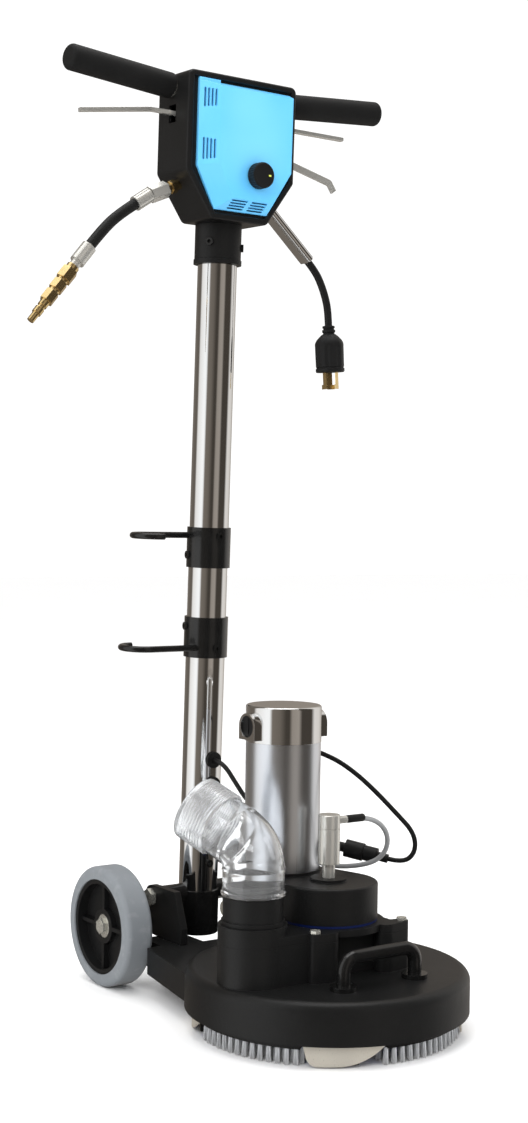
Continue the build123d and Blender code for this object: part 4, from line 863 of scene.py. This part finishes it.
elbow = new_piece("clear_elbow", swept_tube(elbow_stations()), CLEAR)
sharpen(elbow, 50)
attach(elbow, "elbow")
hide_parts("elbow_pipe")


def cuff_stations():
    """Threaded outside with a plain rim at the mouth."""
    start = elbow_mouth - elbow_way * CUFF_LENGTH
    profile = [(0.0, 0.0362), (0.0008, CUFF_BODY)]
    count = RIBS * RIB_STATIONS
    for k in range(count + 1):
        ridge = RIB_FOOT + RIB_HEIGHT * max(0.0, math.cos(2 * math.pi * k / RIB_STATIONS))
        profile.append((0.002 + (CUFF_LENGTH - 0.008) * k / count, ridge))
    profile += [(0.0350, RIM_OUTER), (0.0390, RIM_OUTER), (0.0400, CUFF_BODY)]
    return [(start + elbow_way * along, elbow_way, radius, CUFF_INNER) for along, radius in profile]


cuff = new_piece("ribbed_cuff", swept_tube(cuff_stations()), FROSTED)
sharpen(cuff, 50)
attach(cuff, "elbow")
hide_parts("hose_cuff")


# ------------------------------------------------------------------ bristles
HEAD = Vector((0, -0.104, 0))
GROUPS = 4
GROUP_SPREAD = math.radians(54)
ROWS = 5
OUTER_ROW = 0.1525
ROW_GAP = 0.009
TUFT_GAP = 0.0096
STRANDS = 16
TUFT_RADIUS = 0.0027
STRAND_RADIUS = 0.00062
ROOT_HEIGHT = 0.0195
SPIRAL_TURN = 2.39996


def add_strand(shape, root, tip, width):
    """Four-sided strand from root to tip, a little finer at the tip."""
    way = (tip - root).normalized()
    side, rise = axes_for(way)
    foot = add_ring(shape, root, side, rise, [width] * 4, 0.5)
    end = add_ring(shape, tip, side, rise, [width * 0.75] * 4, 0.5)
    bridge(shape, foot, end)
    shape.faces.new(end)


def bristle_ring():
    """Rows of tufts in four groups round the head, each tuft a bundle of strands flared at the floor."""
    chance = random.Random(7)
    shape = bmesh.new()
    for group in range(GROUPS):
        middle = math.radians(15 + 360 / GROUPS * group)
        for row in range(ROWS):
            radius = OUTER_ROW - ROW_GAP * row
            count = int(radius * GROUP_SPREAD / TUFT_GAP)
            for k in range(count):
                angle = middle + GROUP_SPREAD * ((k + 0.5 * (row % 2)) / (count - 0.5) - 0.5)
                lean = Vector((chance.uniform(-1, 1), chance.uniform(-1, 1), 0)) * 0.0006
                outward = Vector((math.cos(angle), math.sin(angle), 0))
                centre = HEAD + outward * radius
                for strand in range(STRANDS):
                    turn = strand * SPIRAL_TURN
                    spread = TUFT_RADIUS * math.sqrt((strand + 0.5) / STRANDS)
                    offset = Vector((math.cos(turn), math.sin(turn), 0)) * spread
                    root = centre + offset * 0.8 + Vector((0, 0, ROOT_HEIGHT))
                    tip = centre + offset * 1.2 + lean + outward * 0.0004
                    tip.z = chance.uniform(0.0, 0.0009)
                    add_strand(shape, root, tip, STRAND_RADIUS)
    return shape


bristles = new_piece("nylon_tufts", bristle_ring(), BRISTLE)
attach(bristles, "brush")
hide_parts("bristle_tufts")


# ------------------------------------------------------------------ stage and light
def studio():
    """Pale floor, soft lamps and a surround with darker sides that the polished metal shows."""
    paint = Finish("pale_floor", Metallic=0.0)
    paint.feed("Base Color", paint.tint(paint.grain(3, 3), (0.95, 0.95, 0.95, 1), (0.97, 0.97, 0.97, 1)))
    paint.feed("Roughness", 0.75 + 0.1 * paint.grain(40, 2))
    ground = bmesh.new()
    bmesh.ops.create_grid(ground, x_segments=1, y_segments=1, size=14)
    floor = new_piece("floor", ground, paint, False)
    floor.visible_glossy = False

    def lamp(name, spot, target, size, watts, tall=None, glossy=False):
        light = bpy.data.lights.new(name, "AREA")
        light.shape = "RECTANGLE"
        light.size = size
        light.size_y = tall or size
        light.energy = watts
        holder = bpy.data.objects.new(name, light)
        holder.location = spot
        holder.visible_glossy = glossy
        holder.rotation_euler = (Vector(target) - Vector(spot)).to_track_quat("-Z", "Y").to_euler()
        bpy.context.scene.collection.objects.link(holder)

    lamp("key_softbox", (-2.6, -1.6, 2.2), (0, 0, 0.5), 1.2, 48, 2.0)
    lamp("fill_softbox", (2.4, -2.2, 1.6), (0, 0, 0.5), 1.2, 26, 2.2)
    lamp("top_softbox", (0.0, 0.2, 3.0), (0, 0, 0.4), 2.2, 36, glossy=True)

    world = bpy.data.worlds.new("studio_surround")
    world.use_nodes = True
    bpy.context.scene.world = world
    tree = world.node_tree
    shade = tree.nodes["Background"]
    spot = tree.nodes.new("ShaderNodeTexCoord")
    split = tree.nodes.new("ShaderNodeSeparateXYZ")
    tree.links.new(spot.outputs["Generated"], split.inputs[0])
    turn = tree.nodes.new("ShaderNodeMath")
    turn.operation = "ARCTAN2"
    tree.links.new(split.outputs["Y"], turn.inputs[0])
    tree.links.new(split.outputs["X"], turn.inputs[1])
    scaled = tree.nodes.new("ShaderNodeMath")
    scaled.operation = "MULTIPLY_ADD"
    scaled.inputs[1].default_value = 1 / (2 * math.pi)
    scaled.inputs[2].default_value = 0.5
    tree.links.new(turn.outputs[0], scaled.inputs[0])
    bands = tree.nodes.new("ShaderNodeValToRGB")
    stops = [
        (0.00, 1.10),
        (0.03, 1.10),
        (0.055, 0.20),
        (0.12, 0.16),
        (0.17, 0.06),
        (0.20, 0.06),
        (0.225, 0.32),
        (0.28, 0.36),
        (0.31, 0.06),
        (0.41, 0.06),
        (0.45, 0.80),
        (0.52, 0.75),
        (0.60, 0.40),
        (0.66, 0.24),
        (0.83, 0.14),
        (0.87, 0.15),
        (0.90, 0.90),
        (1.00, 1.10),
    ]
    while len(bands.color_ramp.elements) < len(stops):
        bands.color_ramp.elements.new(0.5)
    for element, (position, level) in zip(bands.color_ramp.elements, stops):
        element.position = position
        element.color = (level, level * (0.84 + 0.15 * level), level * (0.68 + 0.29 * level), 1)
    tree.links.new(scaled.outputs[0], bands.inputs[0])
    path = tree.nodes.new("ShaderNodeLightPath")
    seen = tree.nodes.new("ShaderNodeMix")
    seen.data_type = "RGBA"
    tree.links.new(path.outputs["Is Glossy Ray"], seen.inputs[0])
    seen.inputs[6].default_value = (1.0, 1.0, 1.0, 1)
    tree.links.new(bands.outputs[0], seen.inputs[7])
    tree.links.new(seen.outputs[2], shade.inputs["Color"])
    shade.inputs["Strength"].default_value = 1.1
    bpy.context.scene.view_settings.view_transform = "Standard"


studio()
